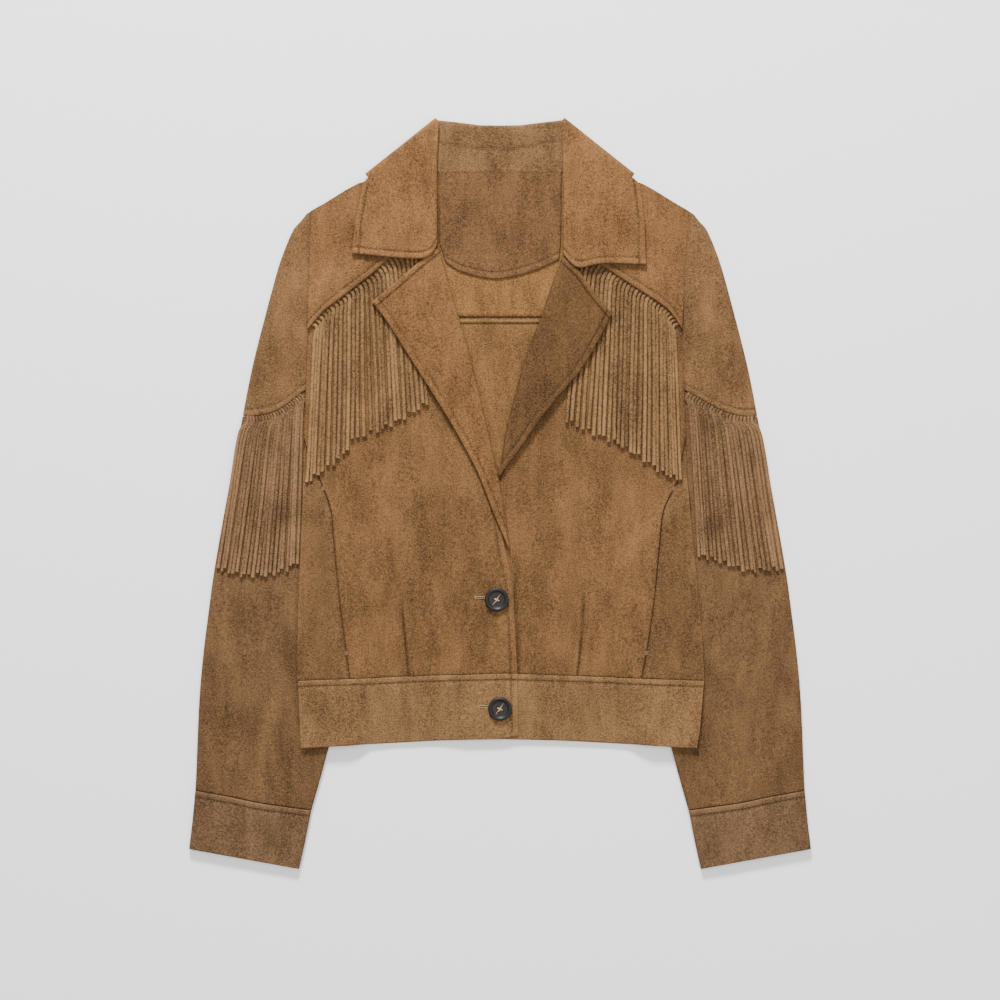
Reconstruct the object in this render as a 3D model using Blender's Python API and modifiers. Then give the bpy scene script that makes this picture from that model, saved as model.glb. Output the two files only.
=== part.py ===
"""A suede fringe jacket laid flat on its back, as cut and sewn pieces.

Tables are in millimetres: `down` is measured from the collar's top fold towards the cuffs, `across`
from the centre line. The wearer's right side lies at -X, the collar at +Y, and the cloth is stacked
upwards from the surface at Z = 0.
"""
import math
from collections import namedtuple

import bmesh
import bpy

# Driving sizes in millimetres
MM = 0.001
LENGTH = 713.4
CLOTH = 1.6
DOUBLE = 2.4
FACING = 1.2
EASE = 0.6
RAMP_EASE = 2.3
SLEEVE_HEIGHT = 5.2
CUFF_HEIGHT = 6.2
CUFF_WALL = 2.2
STRAND_THICK = 1.0
STRAND_WIDTH = 3.5
STRAND_SHARE = 0.72
ROOT_REACH = 7.0
SETTLE_DROP = 10.0
ARMHOLE_CLEAR = 2.6
CROWDED_PITCH = 2.6
SEAT = 0.45
FRONT_SETBACK = 2.6
SHOULDER_POINT = (126.0, 60.0)
BACK_NECK_HALF = 62.0
FRONT_NECK_HALF = 63.6
SIDE_FRONT_TOP = 315.0
TUCK = 8.0
STRIP_WIDTH = 6.5
FOLD_WALL = 3.0
UNDERLAP = 19.0
SLEEVE_RAMP = 36.0
SIDES = (("right", -1), ("left", 1))

Edge = namedtuple("Edge", "down across")
Both = namedtuple("Both", "down right left")
Button = namedtuple("Button", "name down across")

# Where each edge runs: a row for each bend, the wearer's right and left
SHOULDER = (Both(88.3, 180.0, 179.5), Both(79.8, 165.0, 165.0), Both(68.4, 146.3, 146.3),
            Both(62.0, 134.0, 134.0))
ARMHOLE = (Both(88.3, 180.0, 179.5), Both(117.8, 181.4, 178.0), Both(158.7, 182.4, 174.8),
           Both(201.0, 182.8, 173.0), Both(236.0, 184.2, 174.6), Both(302.0, 186.2, 176.4),
           Both(342.0, 186.6, 177.6))
SIDE = (Both(342.0, 186.6, 177.6), Both(386.6, 187.6, 181.4), Both(445.5, 190.6, 187.4),
        Both(496.8, 191.9, 191.9), Both(534.0, 191.9, 193.8))
BAND_SIDE = (Both(534.0, 191.9, 193.8), Both(581.4, 190.0, 190.0), Both(598.7, 189.0, 187.1))
YOKE_SEAM = (Both(201.0, 182.8, 173.0), Both(184.3, 168.2, 161.5), Both(173.8, 154.8, 148.5),
             Both(160.5, 137.8, 128.0), Both(147.2, 120.6, 107.5), Both(136.8, 109.2, 92.5),
             Both(120.6, 87.4, 74.0), Both(108.0, 66.0, 66.0))
POCKET_SEAM = (Both(312.0, 184.6, 175.0), Both(343.9, 171.0, 168.5), Both(372.4, 160.5, 155.5),
               Both(400.9, 157.7, 151.8), Both(457.9, 152.0, 146.2), Both(510.1, 145.3, 138.6),
               Both(534.0, 142.5, 134.0))
HEM = (Edge(598.7, 189.0), Edge(596.0, 140.0), Edge(592.8, 95.0), Edge(590.9, 38.0), Edge(590.3, 0.0))
BAND_SEAM = (Edge(535.0, 192.0), Edge(532.2, 138.0), Edge(530.5, 95.0), Edge(528.8, 45.0), Edge(527.4, 0.0))

ROLL_RIGHT = (Edge(122.5, -58.9), Edge(136.8, -53.7), Edge(170.0, -44.6), Edge(226.1, -28.5),
              Edge(296.4, -11.4), Edge(334.4, -2.8), Edge(374.3, 4.8), Edge(405.6, 9.5))
ROLL_LEFT = (Edge(131.1, 59.4), Edge(141.1, 55.6), Edge(163.4, 47.5), Edge(191.9, 38.0),
             Edge(226.1, 24.7), Edge(263.1, 14.2), Edge(296.4, 5.7), Edge(326.8, 0.9))
FRONT_EDGE_RIGHT = (Edge(405.6, 9.5), Edge(448.4, 12.9), Edge(482.6, 14.4), Edge(527.4, 16.4))
FRONT_EDGE_LEFT = (Edge(326.8, 0.9), Edge(353.4, -5.7), Edge(400.0, -14.0), Edge(440.0, -UNDERLAP),
                   Edge(527.4, -UNDERLAP))
FRONT_TOP = Edge(100.5, 67.5)
LAPEL_EDGE_RIGHT = (Edge(405.6, 4.6), Edge(378.5, -4.8), Edge(356.7, -13.3), Edge(330.6, -24.3),
                    Edge(286.9, -48.4), Edge(228.0, -85.5), Edge(193.8, -107.3), Edge(174.8, -121.6))
LAPEL_EDGE_LEFT = (Edge(326.8, 8.9), Edge(310.9, 21.5), Edge(286.4, 38.0), Edge(255.5, 63.6),
                   Edge(237.0, 78.8), Edge(206.5, 96.5), Edge(186.2, 106.4))
NOTCH_RIGHT = (Edge(174.8, -121.6), Edge(154.8, -97.8), Edge(135.6, -75.6), Edge(122.5, -58.9))
NOTCH_LEFT = (Edge(186.2, 106.4), Edge(166.2, 90.2), Edge(144.0, 74.0), Edge(131.1, 59.4))

# The collar: outer edge from tip to shoulder, lower edge, and the diagonal fold to the back
COLLAR_OUTER = (Both(129.2, 140.6, 138.7), Both(100.7, 137.8, 137.4), Both(77.9, 132.8, 134.6),
                Both(62.2, 129.7, 131.8), Both(53.0, 127.6, 128.4))
COLLAR_LOWER_RIGHT = (Edge(129.2, -140.6), Edge(134.4, -75.2), Edge(121.7, -59.4))
COLLAR_LOWER_LEFT = (Edge(140.0, 138.7), Edge(139.0, 97.4), Edge(142.9, 73.6), Edge(130.3, 59.9))
COLLAR_FOLD = (Edge(53.0, 128.0), Edge(26.0, 94.0), Edge(0.0, 61.4))
COLLAR_TOP = (Edge(0.6, 58.0), Edge(3.8, 42.0), Edge(6.7, 19.0), Edge(7.0, 0.0))
COLLAR_BACK_DEPTH = 78.0
NECK_SEAM = 51.0
NECK_HALF = 58.6
FACING_EDGE = (Edge(137.0, -51.8), Edge(146.3, -35.4), Edge(152.9, -3.0), Edge(145.1, 31.6),
               Edge(134.0, 56.4))
BACK_YOKE_SEAM = 189.6

# The sleeve: outer edge, hidden and shown inner edge, cap seam and cuff
SLEEVE_OUTER = (Edge(283.4, 244.6), Edge(355.0, 258.4), Edge(427.5, 271.2), Edge(465.5, 276.5),
                Edge(511.1, 282.2), Edge(556.7, 286.0), Edge(625.1, 288.8), Edge(638.8, 289.6))
CAP_OUTER = (Edge(91.5, 184.2), Edge(98.8, 190.0), Edge(106.4, 196.6), Edge(125.4, 204.8),
             Edge(146.3, 211.9), Edge(191.9, 224.2), Edge(237.5, 235.6), Edge(283.4, 244.6))
SLEEVE_INNER = (Both(259.0, 185.6, 176.0), Both(302.0, 187.0, 177.4), Both(349.0, 188.0, 179.6),
                Both(372.0, 189.0, 184.0), Both(388.0, 181.0, 178.0), Both(400.0, 172.0, 171.0),
                Both(425.0, 154.0, 154.0), Both(450.0, 141.0, 141.0), Both(500.0, 139.0, 139.0),
                Both(560.0, 152.0, 152.0),
                Both(600.4, 163.4, 163.4), Both(625.0, 170.0, 170.0), Both(657.6, 179.2, 179.2))
CAP_SEAM = (Both(283.4, 244.6, 244.6), Both(283.4, 231.0, 229.7), Both(279.0, 213.7, 212.7),
            Both(270.0, 199.5, 195.0), Both(259.0, 185.6, 176.0))
CUFF_SEAM = (Edge(638.8, 289.6), Edge(645.0, 255.5), Edge(651.0, 226.5), Edge(657.6, 179.2))
CUFF_OUTER = (Edge(638.8, 289.6), Edge(665.0, 292.0), Edge(694.4, 295.4))
CUFF_INNER = (Edge(657.6, 179.2), Edge(685.0, 184.6), Edge(713.4, 190.8))
CUFF_HEM = (Edge(694.4, 295.4), Edge(713.4, 190.8))
SLEEVE_LIFT = (Edge(300.0, 246.0), Edge(340.0, 210.0), Edge(372.0, 181.0), Edge(400.0, 157.0),
               Edge(425.0, 140.0), Edge(450.0, 131.0), Edge(500.0, 131.0), Edge(560.0, 145.0),
               Edge(600.0, 157.0), Edge(720.0, 157.0))

# Fringe: where each row of strands begins and ends, and how far down its ends hang
Fringe = namedtuple("Fringe", "strands first last ends")
Ends = namedtuple("Ends", "share across down")
CHEST_FRINGE = {
    "right": Fringe(26, 0.055, 0.86, (Ends(0.0, 185.0, 347.0), Ends(0.18, 168.0, 335.0),
                                     Ends(0.32, 149.0, 321.0), Ends(0.42, 139.0, 304.0),
                                     Ends(0.56, 116.0, 297.0), Ends(0.78, 92.0, 285.0),
                                     Ends(1.0, 66.5, 269.0))),
    "left": Fringe(26, 0.055, 0.80, (Ends(0.0, 173.0, 344.0), Ends(0.2, 156.0, 338.0),
                                    Ends(0.42, 130.0, 320.0), Ends(0.6, 112.0, 309.0),
                                    Ends(0.8, 88.0, 299.0), Ends(1.0, 60.0, 286.0))),
}
SLEEVE_FRINGE = {
    "right": Fringe(21, 0.05, 0.93, (Ends(0.0, 269.5, 427.0), Ends(0.3, 247.0, 434.0),
                                     Ends(0.65, 218.0, 434.0), Ends(0.85, 201.0, 428.0),
                                     Ends(1.0, 191.4, 420.0))),
    "left": Fringe(21, 0.05, 0.96, (Ends(0.0, 269.5, 428.0), Ends(0.4, 235.0, 430.0),
                                    Ends(0.8, 199.0, 418.0), Ends(1.0, 188.0, 414.0))),
}

BUTTONS = (Button("button_upper", 457.5, -3.0), Button("button_lower", 561.1, 0.0))
BUTTON_RADIUS = 11.2
BUTTON_THICK = 3.4
BUTTON_HOLE = 1.1
BUTTON_PITCH = 4.2

SUEDE = (0.235, 0.125, 0.052)
SUEDE_INSIDE = (0.30, 0.17, 0.075)
SUEDE_FACING = (0.18, 0.085, 0.04)
HORN = (0.018, 0.020, 0.026)


def start_scene():
    """Clear the scene and make the jacket's collection and the one for cutters."""
    for thing in list(bpy.data.objects):
        bpy.data.objects.remove(thing)
    made = []
    for title in ("fringe_jacket", "cutters"):
        group = bpy.data.collections.new(title)
        bpy.context.scene.collection.children.link(group)
        made.append(group)
    return made


JACKET, CUTTERS = start_scene()


def finish_of(name, colour, roughness):
    """A plain material in the piece's own colour."""
    material = bpy.data.materials.new(name)
    material.use_nodes = True
    shader = material.node_tree.nodes["Principled BSDF"]
    shader.inputs["Base Color"].default_value = (*colour, 1.0)
    shader.inputs["Roughness"].default_value = roughness
    return material


def ease_in(share):
    """Run smoothly from 0 to 1 as share does."""
    share = min(1.0, max(0.0, share))
    return share * share * (3.0 - 2.0 * share)


def column(rows, down, name="across"):
    """Read one column of a table at a given distance down, straight between its rows."""
    if down <= rows[0].down:
        return getattr(rows[0], name)
    for above, below in zip(rows, rows[1:]):
        if down <= below.down:
            share = (down - above.down) / (below.down - above.down)
            return getattr(above, name) * (1.0 - share) + getattr(below, name) * share
    return getattr(rows[-1], name)


def side_line(rows, side, sign):
    """The points of one side's column, in plan."""
    return [(sign * getattr(row, side), row.down) for row in rows]


def mirror_line(rows, sign):
    """The points of a table that serves both sides."""
    return [(sign * row.across, row.down) for row in rows]


def plain_line(rows):
    """The points of a table whose across already has its sign."""
    return [(row.across, row.down) for row in rows]


def soft_line(points, steps=6):
    """A smooth line through points that bends gently at each."""
    if len(points) < 3:
        return list(points)
    ends = [points[0]] + list(points) + [points[-1]]
    line = []
    for before, start, stop, after in zip(ends, ends[1:], ends[2:], ends[3:]):
        for step in range(steps):
            t = step / steps
            line.append(tuple(
                0.5 * (2 * start[k] + (stop[k] - before[k]) * t
                       + (2 * before[k] - 5 * start[k] + 4 * stop[k] - after[k]) * t * t
                       + (3 * start[k] - before[k] - 3 * stop[k] + after[k]) * t ** 3)
                for k in (0, 1)))
    line.append(points[-1])
    return line


def on_line(line, share):
    """The point at a share of a line's length."""
    spans = [math.dist(a, b) for a, b in zip(line, line[1:])]
    left = share * sum(spans)
    for a, b, span in zip(line, line[1:], spans):
        if left <= span and span > 0:
            return (a[0] + (b[0] - a[0]) * left / span, a[1] + (b[1] - a[1]) * left / span)
        left -= span
    return line[-1]


class Patch:
    """A piece of the plan between four edge lines: u runs from start to end, v from low to high."""

    def __init__(self, low, high, start, end):
        self.low, self.high, self.start, self.end = low, high, start, end
        self.corners = (on_line(low, 0), on_line(low, 1), on_line(high, 0), on_line(high, 1))

    def at(self, u, v):
        """A point of the plan inside the four edges."""
        low, high = on_line(self.low, u), on_line(self.high, u)
        start, end = on_line(self.start, v), on_line(self.end, v)
        c00, c10, c01, c11 = self.corners
        return tuple((1 - v) * low[k] + v * high[k] + (1 - u) * start[k] + u * end[k]
                     - (1 - u) * (1 - v) * c00[k] - u * (1 - v) * c10[k]
                     - (1 - u) * v * c01[k] - u * v * c11[k] for k in (0, 1))

    def width(self, v):
        """How wide the piece is at v."""
        return math.dist(self.at(0, v), self.at(1, v))

    def length(self, u):
        """How long the piece is at u."""
        return math.dist(self.at(u, 0), self.at(u, 1))


def world(point, height):
    """A plan point and a height in metres, with the origin under the jacket's middle."""
    return (point[0] * MM, (LENGTH / 2 - point[1]) * MM, height * MM)


def sew(name, outside, inside, quads, material):
    """Close a piece of cloth from its two faces: the quads, their backs, and a wall round each free edge."""
    count = len(outside)
    uses = {}
    for quad in quads:
        for a, b in zip(quad, quad[1:] + quad[:1]):
            uses[(a, b)] = True
    faces = [tuple(quad) for quad in quads]
    faces += [tuple(count + index for index in reversed(quad)) for quad in quads]
    faces += [(b, a, count + a, count + b) for a, b in uses if (b, a) not in uses]
    mesh = bpy.data.meshes.new(name)
    mesh.from_pydata([*outside, *inside], [], faces)
    shape = bmesh.new()
    shape.from_mesh(mesh)
    bmesh.ops.triangulate(shape, faces=shape.faces)
    bmesh.ops.recalc_face_normals(shape, faces=shape.faces)
    shape.to_mesh(mesh)
    shape.free()
    mesh.materials.append(material)
    piece = bpy.data.objects.new(name, mesh)
    JACKET.objects.link(piece)
    mesh.shade_smooth()
    mesh.set_sharp_from_angle(angle=math.radians(40))
    return piece


def grid_quads(columns, rows, closed=False):
    """The quads of a grid of points kept row by row; closed joins the last column to the first."""
    quads = []
    for j in range(rows - 1):
        for i in range(columns if closed else columns - 1):
            k = (i + 1) % columns
            quads.append([j * columns + i, j * columns + k, (j + 1) * columns + k, (j + 1) * columns + i])
    return quads


def over_sleeve(x, down):
    """1 where the body lies on a sleeve, 0 on the surface, with a ramp between."""
    full = column(SLEEVE_LIFT, down)
    return ease_in((abs(x) - full + SLEEVE_RAMP) / SLEEVE_RAMP)


def back_level(x, down):
    """The underside of the back: on the surface, over the sleeves, and over the collar's hidden part."""
    collar = (1 - ease_in((down - 90.0) / 42.0)) * (1 - ease_in((abs(x) - 132.0) / 36.0))
    return over_sleeve(x, down) * (SLEEVE_HEIGHT + EASE) + collar * (DOUBLE + EASE)


def front_level(x, down):
    """The underside of a front that lies on the back."""
    part_way = over_sleeve(x, down)
    return back_level(x, down) + CLOTH + EASE + 4 * RAMP_EASE * part_way * (1 - part_way)


def lapped_level(x, down):
    """The underside of the right front, which also laps over the left one at the middle."""
    lap = ease_in((x + 62.0) / 32.0) * ease_in((down - 285.0) / 40.0)
    return front_level(x, down) + lap * (CLOTH + EASE)


def level_of_front(side):
    """Which of the two underside rules a front follows."""
    return lapped_level if side == "right" else front_level


def above_seam(x, down, side):
    """How far a point lies above the yoke seam, squared to the seam."""
    rows = sorted(YOKE_SEAM, key=lambda row: getattr(row, side))
    reach = min(max(abs(x), getattr(rows[0], side)), getattr(rows[-1], side))
    for near, far in zip(rows, rows[1:]):
        a, b = getattr(near, side), getattr(far, side)
        if reach <= b:
            seam = near.down + (far.down - near.down) * (reach - a) / (b - a)
            break
    return (seam - down) * 0.77


def yoke_level(side):
    """The underside of a front yoke, which rises over the fringe's root at its seam."""
    def level(x, down):
        rise = 1 - ease_in((above_seam(x, down, side) - 10.0) / 26.0)
        return front_level(x, down) + rise * (CLOTH + STRAND_THICK + 1.3)
    return level


def leaf_level(side):
    """The underside of a collar leaf, on the yoke."""
    def level(x, down):
        return yoke_level(side)(x, down) + CLOTH + 0.8
    return level


def lapel_level(side):
    """The underside of a lapel: over the fringe at the chest, on the front below."""
    def level(x, down):
        fringe = 1 - ease_in((down - 290.0) / 45.0)
        return level_of_front(side)(x, down) + CLOTH + 0.5 + fringe * (STRAND_THICK + 0.8)
    return level


def panel(name, patch, columns, rows, level, thick, material, insets=(0.2, 0.2, 0.2, 0.2)):
    """A flat piece of cloth over a patch. Insets are its clearances at start, end, low and high."""
    outside, inside = [], []
    for j in range(rows + 1):
        for i in range(columns + 1):
            u, v = i / columns, j / rows
            width, length = patch.width(v), patch.length(u)
            u = (insets[0] + u * (width - insets[0] - insets[1])) / width
            v = (insets[2] + v * (length - insets[2] - insets[3])) / length
            point = patch.at(u, v)
            low = level(*point)
            outside.append(world(point, low + thick))
            inside.append(world(point, low))
    return sew(name, outside, inside, grid_quads(columns + 1, rows + 1), material)


def rolled_panel(name, patch, columns, rows, level, foot, thick, material, insets=(0.0, 0.0, 0.0, 0.2)):
    """A turned back piece: its end edge rolls down to the foot level round the cloth's fold."""
    outside, inside = [], []
    turns = ((FOLD_WALL + 0.5, 0.0, False), (FOLD_WALL, 0.0, True), (1.0, 0.35, True), (0.0, 1.5, True))
    for j in range(rows + 1):
        v = j / rows
        width = patch.width(v)
        flat = width - FOLD_WALL - 0.5
        spots = [(flat * i / columns, 0.0, False) for i in range(columns)]
        spots += [(width - away, drop, down) for away, drop, down in turns]
        for reach, drop, folded in spots:
            u = reach / width
            length = patch.length(u)
            point = patch.at(u, (insets[2] + v * (length - insets[2] - insets[3])) / length)
            low = foot(*point) + drop * 0.6 if folded else level(*point)
            outside.append(world(point, level(*point) + thick - drop))
            inside.append(world(point, low))
    return sew(name, outside, inside, grid_quads(columns + len(turns), rows + 1), material)


def nose(radius, count=3):
    """Points round a half circle between the lower and upper run: how far in from the edge, and height."""
    turns = [math.pi * (k + 1) / (count + 1) for k in range(count)]
    return [(radius - radius * math.sin(turn), radius - radius * math.cos(turn)) for turn in turns]


def flat_section(width, height, wall, runs, whole):
    """The flattened ring of a sleeve: lower run, outer nose, upper run, and the inner nose if whole."""
    def ring(inset):
        radius = min(height / 2 - inset, width / 2 - inset)
        near, far = inset + radius, (width - inset - radius) if whole else width
        run = [near + (far - near) * k / runs for k in range(runs + 1)]
        points = [(reach, inset) for reach in reversed(run)]
        points += [(inset + away, inset + up * (height / 2 - inset) / radius) for away, up in nose(radius)]
        points += [(reach, height - inset) for reach in run]
        if whole:
            points += [(width - inset - away, height - inset - up * (height / 2 - inset) / radius)
                       for away, up in nose(radius)]
        return points
    return ring(0.0), ring(wall)


def sleeve_piece(name, patch, rows, height, wall, runs, whole, material, insets=(0.0, 0.0)):
    """A flattened tube over a patch, or the open one of a sleeve cap."""
    outside, inside = [], []
    for j in range(rows + 1):
        width = patch.width(j / rows)
        rings = flat_section(width, height, wall, runs, whole)
        for ring, points in zip(rings, (outside, inside)):
            for reach, up in ring:
                u = reach / width
                length = patch.length(u)
                v = (insets[0] + j / rows * (length - insets[0] - insets[1])) / length
                points.append(world(patch.at(u, v), up))
    columns = len(outside) // (rows + 1)
    return sew(name, outside, inside, grid_quads(columns, rows + 1, whole), material)


def comb(name, seam, facing, plan, level, thick, material, limit=None):
    """A strip sewn under the seam with strands that leave it squarely and then hang straight down."""
    points, quads = [], []
    strands = plan.strands

    def add(point):
        points.append(point)
        return len(points) - 1

    def root(share, out):
        at, near = on_line(seam, share), on_line(seam, min(1.0, share + 0.01))
        run = math.dist(at, near) or 1.0
        away = ((near[1] - at[1]) / run * facing, -(near[0] - at[0]) / run * facing)
        return (at[0] + away[0] * out, at[1] + away[1] * out)

    pitch = (plan.last - plan.first) / strands
    middles = [plan.first + pitch * (k + 0.5) for k in range(strands)]
    spots = [middle + turn * pitch * STRAND_SHARE / 2 for middle in middles for turn in (-1, 1)]
    upper = [add(root(share, -STRIP_WIDTH)) for share in spots]
    lower = [add(root(share, 0.0)) for share in spots]
    for a in range(len(spots) - 1):
        quads.append([upper[a], upper[a + 1], lower[a + 1], lower[a]])
    runs = [strand_run(plan, k, root(middles[k], ROOT_REACH), limit) for k in range(strands)]
    for k, run in enumerate(runs):
        left, right = lower[2 * k], lower[2 * k + 1]
        order = math.copysign(1, points[right][0] - points[left][0])
        beside = runs[max(0, k - 1):k] + runs[k + 1:k + 2]
        for n, stop in enumerate(run):
            gap = min(abs(stop[0] - other[n][0]) for other in beside)
            half = min(STRAND_WIDTH, STRAND_SHARE * gap) / 2 * order
            a, b = add((stop[0] - half, stop[1])), add((stop[0] + half, stop[1]))
            quads.append([left, right, b, a])
            left, right = a, b
    heights = [level(*point) for point in points]
    outside = [world(point, low + thick) for point, low in zip(points, heights)]
    inside = [world(point, low) for point, low in zip(points, heights)]
    return sew(name, outside, inside, quads, material)


def strand_run(plan, strand, bend, limit):
    """The middle of one strand at its bend, where it settles, and at its end, kept off the armhole."""
    across, down = hang(plan, (strand + 0.5) / plan.strands, strand)
    sign = math.copysign(1, bend[0])
    run = [bend, (bend[0] * 0.8 + across * sign * 0.2, bend[1] + SETTLE_DROP), (across * sign, down)]
    if limit is None:
        return run
    kept = []
    for x, stop in run:
        most = column(ARMHOLE, stop, limit) - ARMHOLE_CLEAR - CROWDED_PITCH * strand
        kept.append((max(-most, min(most, x)), stop))
    return kept


def hang(plan, share, strand):
    """Where a strand's end lies, with a small uneven step from its neighbours."""
    rows = plan.ends
    for near, far in zip(rows, rows[1:]):
        if share <= far.share:
            part = (share - near.share) / (far.share - near.share)
            across = near.across + (far.across - near.across) * part
            down = near.down + (far.down - near.down) * part
            break
    return across, down + 2.4 * math.sin(2.3 * strand)


def shoulder_point(sign):
    """Where the shoulder seam bends towards the neck, on one side."""
    return (sign * SHOULDER_POINT[0], SHOULDER_POINT[1])


def make_back(outside, inside_cloth, facing_cloth):
    """Back yoke, back body, back waistband and the facing inside the neck."""
    shoulder = []
    for side, sign in SIDES:
        line = side_line(SHOULDER, side, sign) + [shoulder_point(sign), (sign * BACK_NECK_HALF, NECK_SEAM)]
        shoulder.append(line)
    top = shoulder[0] + shoulder[1][::-1]
    arm = [side_line(ARMHOLE, side, sign) for side, sign in SIDES]
    split = [[p for p in line if p[1] < BACK_YOKE_SEAM] for line in arm]
    seam = [(sign * column(ARMHOLE, BACK_YOKE_SEAM, side), BACK_YOKE_SEAM) for side, sign in SIDES]
    yoke_sides = [(points + [end])[::-1] for points, end in zip(split, seam)]
    panel("back_yoke", Patch(list(seam), top, yoke_sides[0], yoke_sides[1]), 18, 8,
          back_level, CLOTH, inside_cloth)
    lower = [[seam[n]] + [p for p in arm[n] if p[1] > BACK_YOKE_SEAM]
             + side_line(SIDE, side, sign)[1:] for n, (side, sign) in enumerate(SIDES)]
    hem = [lower[0][-1], (0.0, 532.0), lower[1][-1]]
    panel("back_body", Patch(hem, list(seam), lower[0][::-1], lower[1][::-1]), 22, 15,
          back_level, CLOTH, inside_cloth)
    band = [side_line(BAND_SIDE, side, sign)[::-1] for side, sign in SIDES]
    band_hem = [band[0][0], (-60.0, 592.0), (0.0, 590.5), (60.0, 592.0), band[1][0]]
    panel("band_back", Patch(band_hem, hem, band[0], band[1]), 30, 2, back_level, CLOTH, outside)
    edge = soft_line(plain_line(FACING_EDGE))
    sides = [[edge[0], (-NECK_HALF + 0.6, 118.0), (-NECK_HALF, NECK_SEAM)],
             [edge[-1], (NECK_HALF - 0.6, 118.0), (NECK_HALF, NECK_SEAM)]]
    neck = [(-NECK_HALF, NECK_SEAM), (NECK_HALF, NECK_SEAM)]
    panel("neck_facing", Patch(edge, neck, sides[0], sides[1]), 12, 6,
          lambda x, down: back_level(x, down) + CLOTH + SEAT, FACING, facing_cloth)


def front_lines(side, sign):
    """The inner edge of a front, set back from the lapel's fold, then down the front edge."""
    roll = ROLL_RIGHT if side == "right" else ROLL_LEFT
    edge = FRONT_EDGE_RIGHT if side == "right" else FRONT_EDGE_LEFT
    setback = FOLD_WALL + FRONT_SETBACK
    turned = [(sign * FRONT_TOP.across, FRONT_TOP.down)]
    turned += [(x + sign * setback, down) for x, down in plain_line(roll)]
    return soft_line(turned) + plain_line(edge)[1:]


def make_fronts(cloth):
    """Centre fronts, side fronts beyond the pocket seam, front yokes and the front waistbands."""
    for side, sign in SIDES:
        level = level_of_front(side)
        pocket = side_line(POCKET_SEAM, side, sign)
        arm = [p for p in side_line(ARMHOLE, side, sign) if 201.0 < p[1] < 312.0]
        seam = soft_line(side_line(YOKE_SEAM, side, sign))
        tucked = [(x, down - TUCK) for x, down in seam]
        waist = waist_line(side, sign)
        pocket[-1] = (pocket[-1][0], line_down(waist, pocket[-1][0]))
        outer = ([tucked[0], (seam[0][0], seam[0][1])] + arm + soft_line(pocket))[::-1]
        inner = front_lines(side, sign)[::-1]
        waist_in = [p for p in waist if abs(p[0]) < abs(pocket[-1][0])]
        low = [pocket[-1]] + waist_in + [inner[0]]
        high = tucked[:-1] + [inner[-1]]
        panel("front_" + side, Patch(low, high, outer, inner), 13, 18, level, CLOTH, cloth,
              (0.4, 0.0, 0.2, 0.0))
        hem = [p for p in waist if abs(p[0]) > abs(pocket[-1][0])] + [pocket[-1]]
        edge = [p for p in side_line(ARMHOLE, side, sign) if p[1] > 330.0]
        edge = [(sign * column(ARMHOLE, SIDE_FRONT_TOP, side), SIDE_FRONT_TOP)] + edge + side_line(SIDE, side, sign)[1:]
        hem[0] = edge[-1]
        inside_line = soft_line(pocket)
        inside_line[0] = (edge[0][0] - sign * 2.2, SIDE_FRONT_TOP)
        panel("side_" + side, Patch(hem, [edge[0], inside_line[0]], edge[::-1], inside_line[::-1]), 4, 12,
              level, CLOTH, cloth, (0.2, 0.4, 0.2, 0.0))
        shoulder = side_line(SHOULDER, side, sign) + [shoulder_point(sign), (sign * FRONT_NECK_HALF, NECK_SEAM + 2)]
        arm_top = [p for p in side_line(ARMHOLE, side, sign) if p[1] < 202.0][::-1]
        neck = [seam[-1], (sign * FRONT_NECK_HALF, NECK_SEAM + 2)]
        panel("yoke_" + side, Patch(seam, shoulder, arm_top, neck), 12, 8, yoke_level(side), CLOTH, cloth,
              (0.2, 0.0, 0.0, 0.0))
        make_band(side, sign, level, cloth)


def line_down(line, x):
    """How far down a line that runs across lies at x."""
    for a, b in zip(line, line[1:]):
        if min(abs(a[0]), abs(b[0])) <= abs(x) <= max(abs(a[0]), abs(b[0])):
            return a[1] + (b[1] - a[1]) * (x - a[0]) / (b[0] - a[0])
    return line[-1][1]


def waist_line(side, sign):
    """The seam between a front and its waistband, from the side to the middle."""
    return [(sign * getattr(BAND_SIDE[0], side), BAND_SIDE[0].down)] + mirror_line(BAND_SEAM, sign)[1:]


def make_band(side, sign, level, cloth):
    """One front waistband, lapped as its front is."""
    end = 16.8 if side == "right" else -UNDERLAP
    waist = waist_line(side, sign)
    hem = mirror_line(HEM, sign)
    hem[0] = (sign * getattr(BAND_SIDE[-1], side), BAND_SIDE[-1].down)
    drop = 3.6 if side == "right" else 0.0
    waist.append((end, waist[-1][1]))
    hem.append((end + (0.8 if side == "right" else 0.0), HEM[-1].down - drop))
    edge = side_line(BAND_SIDE, side, sign)[::-1]
    panel("band_" + side, Patch(hem, waist, edge, [hem[-1], waist[-1]]), 20, 3, level, CLOTH, cloth)


def make_lapels(cloth):
    """The turned back upper fronts, rolled at their fold line."""
    for side, edge, notch, roll in (("right", LAPEL_EDGE_RIGHT, NOTCH_RIGHT, ROLL_RIGHT),
                                    ("left", LAPEL_EDGE_LEFT, NOTCH_LEFT, ROLL_LEFT)):
        free = soft_line(plain_line(edge))
        fold = soft_line(plain_line(roll))[::-1]
        patch = Patch([free[0], fold[0]], plain_line(notch), free, fold)
        rolled_panel("lapel_" + side, patch, 6, 16, lapel_level(side), level_of_front(side), DOUBLE, cloth)


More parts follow.
